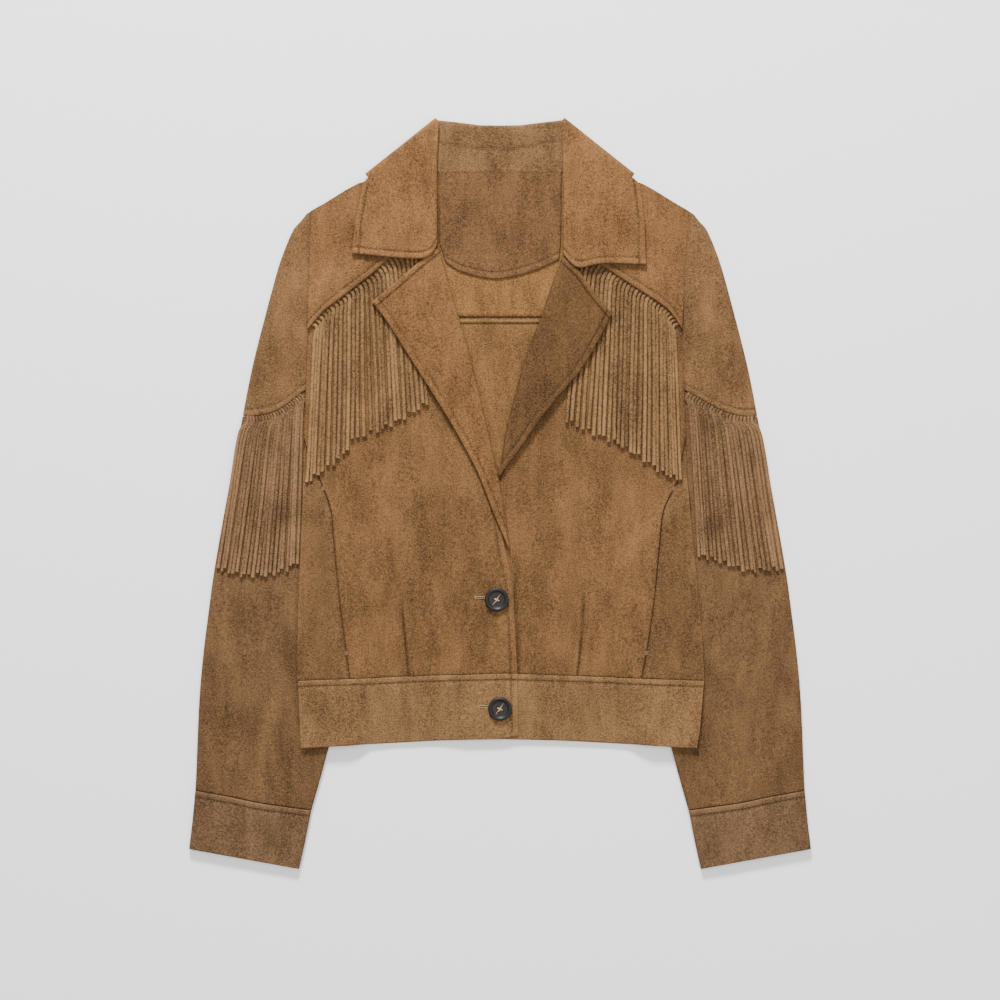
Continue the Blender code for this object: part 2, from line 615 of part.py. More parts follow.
def collar_rows(side, sign, lower):
    """Rows of points for one half of the collar, from its tip over the fold to the middle of the back."""
    fold = mirror_line(COLLAR_FOLD, sign)
    run = math.dist(fold[0], fold[-1])
    out = ((fold[-1][1] - fold[0][1]) / run * sign, -abs(fold[-1][0] - fold[0][0]) / run)
    level = leaf_level(side)
    top = level(*fold[1]) + DOUBLE
    radius = top / 2
    crease = [(x - out[0] * radius, down - out[1] * radius) for x, down in fold]
    outer = side_line(COLLAR_OUTER, side, sign)
    outer[0] = plain_line(lower)[0]
    outer[-1] = crease[0]
    roll = [plain_line(lower)[-1], (sign * 59.6, 60.0), crease[-1]]
    leaf = Patch(plain_line(lower), crease, outer, roll)
    rows = []
    for j in range(9):
        v = j / 8
        width = leaf.width(v)
        spots = [width * i / 5 for i in range(5)] + [width - FOLD_WALL - 0.5, width - FOLD_WALL, width]
        row = []
        for n, reach in enumerate(spots):
            length = leaf.length(reach / width)
            point = leaf.at(reach / width, (0.2 + v * (length - 0.2)) / length)
            settle = ease_in((v - 0.72) / 0.28)
            high = level(*point) * (1 - settle) + (top - DOUBLE) * settle
            foot = back_level(*point) + CLOTH + 2 * SEAT + FACING
            folded = n > 5 and v < 0.75
            row.append((point, high + DOUBLE - (1.2 if n == 7 and folded else 0.0),
                        foot if folded else high))
        rows.append(row)
    shares = [math.dist(leaf.at(0, 1), point) / leaf.width(1) for point, _, _ in rows[-1]]
    for turn in (30.0, 60.0, 90.0, 120.0, 150.0):
        angle = math.radians(turn)
        row = []
        for share in shares:
            base = on_line(crease, share)
            far, near = radius * math.sin(angle), (radius - DOUBLE) * math.sin(angle)
            row.append(((base, out, far, near), radius + radius * math.cos(angle),
                        radius + (radius - DOUBLE) * math.cos(angle)))
        rows.append(row)
    middle = [(0.0, COLLAR_BACK_DEPTH), (0.0, COLLAR_TOP[-1].down + FOLD_WALL + 0.8)]
    top_edge = [crease[-1]] + [(x, down + FOLD_WALL + 0.8) for x, down in mirror_line(COLLAR_TOP, sign)[1:]]
    low_edge = [crease[0], (sign * 60.0, 73.0), middle[0]]
    under = Patch(low_edge, top_edge, crease, middle)
    for j in range(5):
        rows.append([(under.at(j / 4, share), 0.0, DOUBLE) for share in shares])
    return rows


def place_row(row):
    """The outer and inner points of one collar row, worked out from its fold or its plan."""
    faces = ([], [])
    for point, high, low in row:
        if len(point) == 4:
            base, out, far, near = point
            faces[0].append(world((base[0] + out[0] * far, base[1] + out[1] * far), high))
            faces[1].append(world((base[0] + out[0] * near, base[1] + out[1] * near), low))
        else:
            faces[0].append(world(point, high))
            faces[1].append(world(point, low))
    return faces


def make_collar(cloth):
    """The collar's fall, tip to tip round the back, and its stand inside the neck."""
    right = collar_rows("right", -1, COLLAR_LOWER_RIGHT)
    left = collar_rows("left", 1, COLLAR_LOWER_LEFT)
    rows = right + left[::-1][1:]
    outside, inside = [], []
    for row in rows:
        faces = place_row(row)
        outside += faces[0]
        inside += faces[1]
    sew("collar_fall", outside, inside, grid_quads(len(rows[0]), len(rows)), cloth)
    top = [p for p in mirror_line(COLLAR_TOP, -1)] + mirror_line(COLLAR_TOP, 1)[-2::-1]
    top[0], top[-1] = (-55.0, 1.8), (55.0, 1.8)
    seam = [(-57.0, NECK_SEAM - 0.4), (57.0, NECK_SEAM - 0.4)]
    outside, inside = [], []
    stops = ((0.0, 1.6, 0.8), (1.2, 0.4, 0.3), (FOLD_WALL, 0.0, 0.3), (FOLD_WALL + 0.5, 0.0, None),
             (18.0, 0.0, None), (32.0, 0.0, None), (43.0, 0.0, None))
    base = DOUBLE + 0.5
    for away, drop, foot in stops:
        for i in range(13):
            start, end = on_line(top, i / 12), on_line(seam, i / 12)
            length = math.dist(start, end)
            share = min(1.0, away / length) if away < 43.0 else 1.0
            point = tuple(start[k] + (end[k] - start[k]) * share for k in (0, 1))
            outside.append(world(point, base + CLOTH - drop))
            inside.append(world(point, base if foot is None else foot))
    sew("collar_stand", outside, inside, grid_quads(13, len(stops)), cloth)


def make_sleeves(cloth):
    """Sleeve tubes under the cap seam, caps over the shoulder and cuffs."""
    for side, sign in SIDES:
        outer = soft_line(mirror_line(SLEEVE_OUTER, sign))
        inner = soft_line(side_line(SLEEVE_INNER, side, sign))
        cuff = soft_line(mirror_line(CUFF_SEAM, sign))
        seam = soft_line(side_line(CAP_SEAM, side, sign))
        seam[-1] = inner[0]
        sleeve_piece("sleeve_" + side, Patch(cuff, seam, outer[::-1], inner[::-1]), 13,
                     SLEEVE_HEIGHT, CLOTH, 4, True, cloth, (0.2, 0.2))
        arm = [p for p in side_line(ARMHOLE, side, sign) if p[1] < 245.0]
        arm = [(x + sign * 0.8, down) for x, down in arm] + [(inner[0][0], inner[0][1])]
        cap_outer = soft_line(mirror_line(CAP_OUTER, sign))
        patch = Patch(seam, [cap_outer[0], arm[0]], cap_outer[::-1], arm[::-1])
        sleeve_piece("cap_" + side, patch, 9, SLEEVE_HEIGHT, CLOTH, 3, False, cloth, (0.5, 0.2))
        cuff_patch = Patch(mirror_line(CUFF_HEM, sign), cuff, soft_line(mirror_line(CUFF_OUTER, sign))[::-1],
                           soft_line(mirror_line(CUFF_INNER, sign))[::-1])
        sleeve_piece("cuff_" + side, cuff_patch, 3, CUFF_HEIGHT, CUFF_WALL, 6, True, cloth, (0.0, 0.2))


def make_fringes(cloth):
    """The chest and sleeve fringes, each fused to the narrow strip sewn into its seam."""
    for side, sign in SIDES:
        seam = soft_line(side_line(YOKE_SEAM, side, sign))
        comb("fringe_chest_" + side, seam, sign, CHEST_FRINGE[side],
             lambda x, down: front_level(x, down) + CLOTH + 0.9, STRAND_THICK, cloth, side)
        cap = soft_line(side_line(CAP_SEAM, side, sign))
        comb("fringe_sleeve_" + side, cap, sign, SLEEVE_FRINGE[side],
             lambda x, down: SLEEVE_HEIGHT + 0.4, STRAND_THICK, cloth)


def make_button(name, down, across, material):
    """A turned button with a raised rim and four holes."""
    seat = lapped_level(across, down) + CLOTH + 0.35
    rim, radius, thick = BUTTON_RADIUS - 2.6, BUTTON_RADIUS, BUTTON_THICK
    profile = ((0.0, thick - 1.2), (rim - 1.0, thick - 1.0), (rim, thick - 0.2), (rim + 1.2, thick),
               (radius - 0.5, thick - 0.5), (radius, thick - 1.3), (radius - 0.8, 0.5), (radius - 2.6, 0.0),
               (0.0, 0.0))
    mesh = bpy.data.meshes.new(name)
    mesh.from_pydata([(x * MM, 0.0, z * MM) for x, z in profile],
                     [(n, n + 1) for n in range(len(profile) - 1)], [])
    piece = bpy.data.objects.new(name, mesh)
    JACKET.objects.link(piece)
    place = world((across, down), seat)
    piece.location = place
    turn = piece.modifiers.new("turn", "SCREW")
    turn.axis = "Z"
    turn.angle = math.tau
    turn.steps = turn.render_steps = 20
    turn.use_merge_vertices = True
    turn.merge_threshold = 0.00005
    for k in range(4):
        angle = math.radians(45 + 90 * k + 20)
        reach = BUTTON_PITCH / math.sqrt(2)
        bpy.ops.mesh.primitive_cylinder_add(vertices=6, radius=BUTTON_HOLE * MM, depth=3 * thick * MM)
        hole = bpy.context.object
        hole.name = f"{name}_hole_{k}"
        hole.location = (place[0] + reach * math.cos(angle) * MM, place[1] + reach * math.sin(angle) * MM,
                         place[2])
        hole.hide_render = True
        hole.display_type = "WIRE"
        for group in list(hole.users_collection):
            group.objects.unlink(hole)
        CUTTERS.objects.link(hole)
        cut = piece.modifiers.new(f"hole_{k}", "BOOLEAN")
        cut.operation = "DIFFERENCE"
        cut.object = hole
    mesh.materials.append(material)
    return piece


def make_jacket():
    """Build every piece, from the surface up."""
    cloth = finish_of("suede", SUEDE, 0.9)
    inner = finish_of("suede_inside", SUEDE_INSIDE, 0.9)
    facing = finish_of("suede_facing", SUEDE_FACING, 0.9)
    horn = finish_of("button", HORN, 0.35)
    make_sleeves(cloth)
    make_back(cloth, inner, facing)
    make_fronts(cloth)
    make_fringes(cloth)
    make_lapels(cloth)
    make_collar(cloth)
    for button in BUTTONS:
        make_button(button.name, button.down, button.across, horn)


make_jacket()
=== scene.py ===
"""The looks of a suede fringe jacket laid flat: nap, seams, stitching, fringe and buttons.

Tables are in millimetres. `down` runs from the collar's top fold towards the cuffs and `across` from
the centre line, with the wearer's right side at -X. Each piece of cloth is a thin shell on the form
of its solid, with turned edges, sewn grooves and soft creases.
"""
from __future__ import annotations

import bisect
import logging
import math
from dataclasses import dataclass, field
from enum import Enum
from typing import Callable, NamedTuple, Sequence

import bmesh
import bpy
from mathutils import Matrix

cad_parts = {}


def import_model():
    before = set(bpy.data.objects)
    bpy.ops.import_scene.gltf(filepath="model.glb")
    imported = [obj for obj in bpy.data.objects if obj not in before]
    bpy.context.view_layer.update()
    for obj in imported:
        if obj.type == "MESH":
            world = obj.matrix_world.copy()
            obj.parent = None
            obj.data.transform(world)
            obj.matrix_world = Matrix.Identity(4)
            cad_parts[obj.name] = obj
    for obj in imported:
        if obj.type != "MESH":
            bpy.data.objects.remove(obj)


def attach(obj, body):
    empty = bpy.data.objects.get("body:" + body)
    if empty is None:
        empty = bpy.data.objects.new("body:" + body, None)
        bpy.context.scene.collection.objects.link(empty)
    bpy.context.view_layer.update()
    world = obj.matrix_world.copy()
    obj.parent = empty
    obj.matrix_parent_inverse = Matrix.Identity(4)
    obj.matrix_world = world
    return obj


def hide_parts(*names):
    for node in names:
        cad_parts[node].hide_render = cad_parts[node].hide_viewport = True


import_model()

LOG = logging.getLogger("fringe_jacket")

Plan = tuple[float, float]
Place = tuple[float, float, float]
Level = Callable[[float, float], float]

MM = 0.001
LENGTH = 713.4
CLOTH = 1.6
DOUBLE = 2.4
FACING = 1.2
EASE = 0.6
RAMP_EASE = 2.3
SLEEVE_HEIGHT = 5.2
CUFF_HEIGHT = 6.2
CUFF_WALL = 2.2
STRAND_THICK = 1.0
STRAND_PITCH = 5.2
FOLD_WALL = 3.0
UNDERLAP = 19.0
SLEEVE_RAMP = 36.0
NECK_SEAM = 51.0
NECK_HALF = 58.6
BACK_NECK_HALF = 62.0
FRONT_NECK_HALF = 63.6
FRONT_SETBACK = 2.6
FRONT_ARM_END = 312.0
SIDE_FRONT_TOP = 315.0
TUCK = 8.0
BAND_END = 16.8
BACK_YOKE_SEAM = 189.6
COLLAR_BACK_DEPTH = 78.0
FALL_CUT = (560.0, 92.0)
STAND_CUT = (116.0, 50.0)
STITCH_PITCH = 3.3
FOLD_STRENGTH = 1.5
SPAN_STEPS = 6
SEAM_SLOPE = 0.77


class Side(Enum):
    """The wearer's right and left, with the sign of X on which each lies."""

    RIGHT = -1
    LEFT = 1

    @property
    def word(self) -> str:
        """The side's name in node names and table columns."""
        return self.name.lower()


class Edge(NamedTuple):
    """A bend of a line: how far down, and how far from the centre line."""

    down: float
    across: float


class Both(NamedTuple):
    """A bend of a line that runs down both sides, each a little different."""

    down: float
    right: float
    left: float


class Ends(NamedTuple):
    """Where strands end, at a share of the row from the armhole inwards."""

    share: float
    across: float
    down: float


class Crease(NamedTuple):
    """A soft ridge, or a trough where rise is below 0, from one place to another."""

    down: float
    across: float
    to_down: float
    to_across: float
    half_width: float
    rise: float


def table(kind: type[NamedTuple], *values: tuple[float, ...]) -> tuple[NamedTuple, ...]:
    """A table whose rows are all of one kind."""
    return tuple(kind(*value) for value in values)


SHOULDER = table(Both, (88.3, 180.0, 179.5), (79.8, 165.0, 165.0), (68.4, 146.3, 146.3),
    (62.0, 134.0, 134.0))
ARMHOLE = table(Both, (88.3, 180.0, 179.5), (117.8, 181.4, 178.0), (158.7, 182.4, 174.8),
    (201.0, 182.8, 173.0), (236.0, 184.2, 174.6), (302.0, 186.2, 176.4), (342.0, 186.6, 177.6))
SIDE_EDGE = table(Both, (342.0, 186.6, 177.6), (386.6, 187.6, 181.4), (445.5, 190.6, 187.4),
    (496.8, 191.9, 191.9), (534.0, 191.9, 193.8))
BAND_SIDE = table(Both, (534.0, 191.9, 193.8), (581.4, 190.0, 190.0), (598.7, 189.0, 187.1))
YOKE_SEAM = table(Both, (201.0, 182.8, 173.0), (184.3, 168.2, 161.5), (173.8, 154.8, 148.5),
    (160.5, 137.8, 128.0), (147.2, 120.6, 107.5), (136.8, 109.2, 92.5), (120.6, 87.4, 74.0),
    (108.0, 66.0, 66.0))
POCKET_SEAM = table(Both, (312.0, 184.6, 175.0), (343.9, 171.0, 168.5), (372.4, 160.5, 155.5),
    (400.9, 157.7, 151.8), (457.9, 152.0, 146.2), (510.1, 145.3, 138.6), (534.0, 142.5, 134.0))
HEM = table(Edge, (598.7, 189.0), (596.0, 140.0), (592.8, 95.0), (590.9, 38.0), (590.3, 0.0))
BAND_SEAM = table(Edge, (535.0, 192.0), (532.2, 138.0), (530.5, 95.0), (528.8, 45.0), (527.4, 0.0))
ROLL = {
    Side.RIGHT: table(Edge, (122.5, -58.9), (136.8, -53.7), (170.0, -44.6), (226.1, -28.5), (296.4, -11.4),
        (334.4, -2.8), (374.3, 4.8), (405.6, 9.5)),
    Side.LEFT: table(Edge, (131.1, 59.4), (141.1, 55.6), (163.4, 47.5), (191.9, 38.0), (226.1, 24.7),
        (263.1, 14.2), (296.4, 5.7), (326.8, 0.9), (340.0, -3.4)),
}
FRONT_EDGE = {
    Side.RIGHT: table(Edge, (448.4, 12.9), (482.6, 14.4), (527.4, 16.4)),
    Side.LEFT: table(Edge, (353.4, -5.7), (400.0, -14.0), (440.0, -UNDERLAP), (527.4, -UNDERLAP)),
}
FRONT_TOP = Edge(100.5, 67.5)
SHOULDER_POINT = Edge(60.0, 126.0)
DARTS = {Side.RIGHT: (0.35, 0.20), Side.LEFT: (0.395, 0.21)}
LAPEL_EDGE = {
    Side.RIGHT: table(Edge, (410.0, 8.6), (378.5, -4.8), (356.7, -13.3), (330.6, -24.3), (286.9, -48.4),
        (228.0, -85.5), (193.8, -107.3), (174.8, -121.6)),
    Side.LEFT: table(Edge, (340.0, 0.4), (326.8, 9.6), (310.9, 21.5), (286.4, 38.0), (255.5, 63.6),
        (237.0, 78.8), (206.5, 96.5), (186.2, 106.4)),
}
NOTCH = {
    Side.RIGHT: table(Edge, (174.8, -121.6), (154.8, -97.8), (135.6, -75.6), (122.5, -58.9)),
    Side.LEFT: table(Edge, (186.2, 106.4), (166.2, 90.2), (144.0, 74.0), (131.1, 59.4)),
}
COLLAR_OUTER = table(Both, (129.2, 140.6, 138.7), (100.7, 137.8, 137.4), (77.9, 132.8, 134.6),
    (62.2, 129.7, 131.8), (53.0, 127.6, 128.4))
COLLAR_LOWER = {
    Side.RIGHT: table(Edge, (129.2, -140.6), (134.4, -75.2), (121.7, -59.4)),
    Side.LEFT: table(Edge, (140.0, 138.7), (139.0, 97.4), (142.9, 73.6), (130.3, 59.9)),
}
COLLAR_FOLD = table(Edge, (53.0, 128.0), (26.0, 94.0), (0.0, 61.4))
COLLAR_TOP = table(Edge, (0.6, 58.0), (3.8, 42.0), (6.7, 19.0), (7.0, 0.0))
FACING_EDGE = table(Edge, (137.0, -51.8), (146.3, -35.4), (152.9, -3.0), (145.1, 31.6), (134.0, 56.4))
SLEEVE_OUTER = table(Edge, (283.4, 244.6), (355.0, 258.4), (427.5, 271.2), (465.5, 276.5), (511.1, 282.2),
    (556.7, 286.0), (625.1, 288.8), (638.8, 289.6))
CAP_OUTER = table(Edge, (91.5, 184.2), (98.8, 190.0), (106.4, 196.6), (125.4, 204.8), (146.3, 211.9),
    (191.9, 224.2), (237.5, 235.6), (283.4, 244.6))
SLEEVE_INNER = table(Both, (259.0, 184.8, 175.2), (302.0, 186.0, 176.2), (349.0, 186.6, 178.0),
    (372.0, 186.9, 180.2), (388.0, 181.0, 176.5), (400.0, 172.0, 171.0), (425.0, 154.0, 154.0),
    (450.0, 141.0, 141.0), (500.0, 139.0, 139.0), (560.0, 152.0, 152.0), (600.4, 163.4, 163.4),
    (625.0, 170.0, 170.0), (657.6, 179.2, 179.2))
CAP_SEAM = table(Both, (283.4, 244.6, 244.6), (283.4, 231.0, 229.7), (279.0, 213.7, 212.7),
    (270.0, 199.5, 195.0), (259.0, 185.6, 176.0))
CUFF_SEAM = table(Edge, (638.8, 289.6), (645.0, 255.5), (651.0, 226.5), (657.6, 179.2))
CUFF_OUTER = table(Edge, (638.8, 289.6), (665.0, 292.0), (694.4, 295.4))
CUFF_INNER = table(Edge, (657.6, 179.2), (685.0, 184.6), (713.4, 190.8))
CUFF_HEM = table(Edge, (694.4, 295.4), (713.4, 190.8))
SLEEVE_LIFT = table(Edge, (300.0, 246.0), (340.0, 210.0), (372.0, 181.0), (400.0, 157.0), (425.0, 140.0),
    (450.0, 131.0), (500.0, 131.0), (560.0, 145.0), (600.0, 157.0), (720.0, 157.0))

# Soft creases of the body with its darts, of the waistband, the collar's stand and the sleeves
BODY_CREASES = table(Crease, (450.0, -96.0, 528.0, -86.0, 2.2, -0.75),
    (478.0, -93.0, 528.0, -80.0, 7.0, 0.45), (452.0, 79.0, 528.0, 76.5, 2.2, -0.7),
    (476.0, 82.0, 528.0, 84.0, 7.0, 0.4), (300.0, -120.0, 470.0, -112.0, 13.0, 0.5),
    (340.0, -88.0, 520.0, -64.0, 12.0, -0.5), (395.0, -46.0, 525.0, -38.0, 10.0, 0.45),
    (430.0, -24.0, 520.0, -14.0, 8.0, -0.35), (350.0, -140.0, 440.0, -128.0, 9.0, -0.4),
    (470.0, -128.0, 528.0, -118.0, 7.0, 0.45), (330.0, 58.0, 500.0, 46.0, 12.0, 0.5),
    (360.0, 92.0, 490.0, 104.0, 12.0, -0.5), (345.0, 124.0, 440.0, 132.0, 9.0, 0.45),
    (450.0, 116.0, 528.0, 112.0, 8.0, 0.4), (420.0, 30.0, 524.0, 34.0, 9.0, -0.45),
    (355.0, 20.0, 420.0, 52.0, 9.0, -0.35), (400.0, -172.0, 520.0, -166.0, 6.0, -0.4),
    (420.0, 168.0, 524.0, 164.0, 6.0, -0.4), (110.0, -150.0, 165.0, -160.0, 8.0, 0.35),
    (105.0, 152.0, 170.0, 150.0, 9.0, 0.35), (206.0, -6.0, 250.0, -2.0, 6.0, -0.35),
    (200.0, 14.0, 240.0, 8.0, 5.0, 0.3), (150.0, -26.0, 186.0, -20.0, 5.0, -0.3),
    (160.0, 12.0, 188.0, 22.0, 4.0, 0.3), (70.0, -24.0, 120.0, -30.0, 7.0, 0.3),
    (66.0, 20.0, 124.0, 30.0, 8.0, -0.35))
BAND_CREASES = table(Crease, (536.0, -120.0, 590.0, -114.0, 6.0, 0.3),
    (540.0, -64.0, 586.0, -70.0, 7.0, -0.3), (538.0, 58.0, 588.0, 50.0, 6.0, -0.3),
    (536.0, 118.0, 590.0, 124.0, 7.0, 0.3))
STAND_CREASES = table(Crease, (24.0, -56.0, 29.0, -20.0, 1.1, -0.5), (29.0, -20.0, 30.0, 10.0, 1.1, -0.5),
    (30.0, 10.0, 22.0, 56.0, 1.1, -0.5), (10.0, -50.0, 16.0, 50.0, 6.0, 0.35))
SLEEVE_CREASES = table(Crease, (440.0, 268.0, 560.0, 246.0, 9.0, 0.6),
    (470.0, 236.0, 620.0, 262.0, 10.0, -0.6), (560.0, 284.0, 634.0, 262.0, 7.0, 0.5),
    (520.0, 214.0, 640.0, 226.0, 9.0, 0.5), (600.0, 196.0, 652.0, 206.0, 6.0, -0.5),
    (452.0, 206.0, 540.0, 222.0, 8.0, -0.5), (612.0, 248.0, 642.0, 242.0, 4.0, 0.4),
    (618.0, 218.0, 648.0, 213.0, 4.0, -0.45), (300.0, 214.0, 400.0, 238.0, 10.0, -0.4),
    (690.0, 216.0, 664.0, 220.0, 6.0, 0.35), (684.0, 262.0, 656.0, 258.0, 6.0, -0.35),
    (160.0, 200.0, 262.0, 212.0, 9.0, 0.45), (200.0, 222.0, 268.0, 232.0, 7.0, -0.4),
    (130.0, 190.0, 200.0, 189.0, 4.0, -0.45))


@dataclass(frozen=True)
class StrandRow:
    """One row of fringe: its strands, where it starts and stops on its seam, and its ends."""

    strands: int
    length: float
    first: float
    last: float
    ends: tuple[Ends, ...]


CHEST_FRINGE = {
    Side.RIGHT: StrandRow(26, 145.0, 0.03, 0.86, table(
        Ends, (0.0, 185.0, 347.0), (0.18, 168.0, 335.0), (0.32, 149.0, 321.0),
        (0.42, 139.0, 304.0), (0.56, 116.0, 297.0), (0.78, 92.0, 285.0), (1.0, 66.5, 269.0))),
    Side.LEFT: StrandRow(26, 145.0, 0.03, 0.80, table(
        Ends, (0.0, 173.0, 344.0), (0.2, 156.0, 338.0), (0.42, 130.0, 320.0),
        (0.6, 112.0, 309.0), (0.8, 88.0, 299.0), (1.0, 60.0, 286.0))),
}
SLEEVE_FRINGE = {
    Side.RIGHT: StrandRow(21, 158.0, 0.05, 0.93, table(
        Ends, (0.0, 269.5, 427.0), (0.3, 247.0, 434.0), (0.65, 218.0, 434.0),
        (0.85, 201.0, 428.0), (1.0, 191.4, 420.0))),
    Side.LEFT: StrandRow(21, 158.0, 0.05, 0.96, table(
        Ends, (0.0, 269.5, 428.0), (0.4, 235.0, 430.0), (0.8, 199.0, 418.0),
        (1.0, 188.0, 414.0))),
}


def ease_in(share: float) -> float:
    """Run smoothly from 0 to 1 as share does."""
    share = min(1.0, max(0.0, share))
    return share * share * (3.0 - 2.0 * share)


def bell(distance: float, half_width: float) -> float:
    """A soft hump of height 1 over a distance."""
    return math.exp(-(distance / half_width) ** 2)


def scatter(number: float) -> float:
    """An even, repeatable spread of values from 0 to 1 for a running number."""
    return (math.sin(number * 12.9898 + 4.1) * 43758.5453) % 1.0


def column(rows: Sequence[NamedTuple], reach: float, name: str = "across", by: str = "down") -> float:
    """Read one column of a table where another column has a value.

    Args:
        rows: the table, in order of the column `by`.
        reach: the value there.
        name: which column is read.
        by: which column is looked along.

    Returns:
        The value, straight between the rows.
    """
    if reach <= getattr(rows[0], by):
        return getattr(rows[0], name)
    for above, below in zip(rows, rows[1:]):
        if reach <= getattr(below, by):
            share = (reach - getattr(above, by)) / (getattr(below, by) - getattr(above, by))
            return getattr(above, name) * (1.0 - share) + getattr(below, name) * share
    return getattr(rows[-1], name)


def side_points(rows: Sequence[Both], side: Side) -> list[Plan]:
    """The plan points of one side's column."""
    return [(side.value * getattr(row, side.word), row.down) for row in rows]


def edge_points(rows: Sequence[Edge], sign: int = 1) -> list[Plan]:
    """The plan points of a table, mirrored where the sign is -1."""
    return [(sign * row.across, row.down) for row in rows]


def between(a: Sequence[float], b: Sequence[float], share: float) -> tuple[float, ...]:
    """The point at a share of the way from one point to another."""
    return tuple(p + (q - p) * share for p, q in zip(a, b))


def soft_points(points: Sequence[Plan]) -> list[Plan]:
    """A smooth run of points through a few.

    Args:
        points: the bends.

    Returns:
        The denser run, through every bend.
    """
    if len(points) < 3:
        return list(points)
    ends = [points[0], *points, points[-1]]
    line = []
    for before, start, stop, after in zip(ends, ends[1:], ends[2:], ends[3:]):
        for step in range(SPAN_STEPS):
            t = step / SPAN_STEPS
            line.append(tuple(
                0.5 * (2 * start[k] + (stop[k] - before[k]) * t
                       + (2 * before[k] - 5 * start[k] + 4 * stop[k] - after[k]) * t * t
                       + (3 * start[k] - before[k] - 3 * stop[k] + after[k]) * t ** 3)
                for k in (0, 1)))
    line.append(points[-1])
    return line


def down_at(points: Sequence[Plan], x: float) -> float:
    """How far down a line that runs across lies at x.

    Args:
        points: the line's points in order.
        x: how far from the centre line.

    Returns:
        The distance down.
    """
    for a, b in zip(points, points[1:]):
        if min(abs(a[0]), abs(b[0])) <= abs(x) <= max(abs(a[0]), abs(b[0])):
            return a[1] + (b[1] - a[1]) * (x - a[0]) / (b[0] - a[0])
    return points[-1][1]


class Line:
    """A run of plan points that is read by the share of its length."""

    def __init__(self, points: Sequence[Plan]) -> None:
        """Measure the run.

        Args:
            points: the points in order.
        """
        self.points = list(points)
        self.marks = [0.0]
        for a, b in zip(self.points, self.points[1:]):
            self.marks.append(self.marks[-1] + math.dist(a, b))
        self.length = self.marks[-1]

    def at(self, share: float) -> Plan:
        """The point at a share of the length.

        Args:
            share: the share.

        Returns:
            The point.
        """
        reach = min(1.0, max(0.0, share)) * self.length
        k = min(max(1, bisect.bisect_left(self.marks, reach)), len(self.points) - 1)
        span = self.marks[k] - self.marks[k - 1] or 1.0
        part = (reach - self.marks[k - 1]) / span
        return between(self.points[k - 1], self.points[k], part)


class Patch:
    """A piece of the plan between four edge lines: u from start to end, v from low to high."""

    def __init__(self, low: Sequence[Plan], high: Sequence[Plan], start: Sequence[Plan],
                 end: Sequence[Plan]) -> None:
        """Keep the four edges.

        Args:
            low: the edge at v = 0.
            high: the edge at v = 1.
            start: the edge at u = 0.
            end: the edge at u = 1.
        """
        self.low, self.high = Line(low), Line(high)
        self.start, self.end = Line(start), Line(end)

    def at(self, u: float, v: float) -> Plan:
        """A plan point inside the four edges.

        Args:
            u: the share from start to end.
            v: the share from low to high.

        Returns:
            The point.
        """
        low, high, start, end = self.low.at(u), self.high.at(u), self.start.at(v), self.end.at(v)
        c00, c10 = self.low.points[0], self.low.points[-1]
        c01, c11 = self.high.points[0], self.high.points[-1]
        return tuple((1 - v) * low[k] + v * high[k] + (1 - u) * start[k] + u * end[k]
                     - (1 - u) * (1 - v) * c00[k] - u * (1 - v) * c10[k]
                     - (1 - u) * v * c01[k] - u * v * c11[k] for k in (0, 1))

    def width(self, v: float) -> float:
        """How wide the piece is at v."""
        return math.dist(self.at(0, v), self.at(1, v))

    def length(self, u: float) -> float:
        """How long the piece is at u."""
        return math.dist(self.at(u, 0), self.at(u, 1))

    def cut(self, count: int = 10) -> Plan:
        """The greatest width and length, from a count of places across and along."""
        shares = [k / count for k in range(count + 1)]
        return max(map(self.width, shares)), max(map(self.length, shares))


def world(point: Plan, height: float) -> Place:
    """A plan point and a height in metres, in the frame's own axes."""
    return (point[0] * MM, (LENGTH / 2 - point[1]) * MM, height * MM)


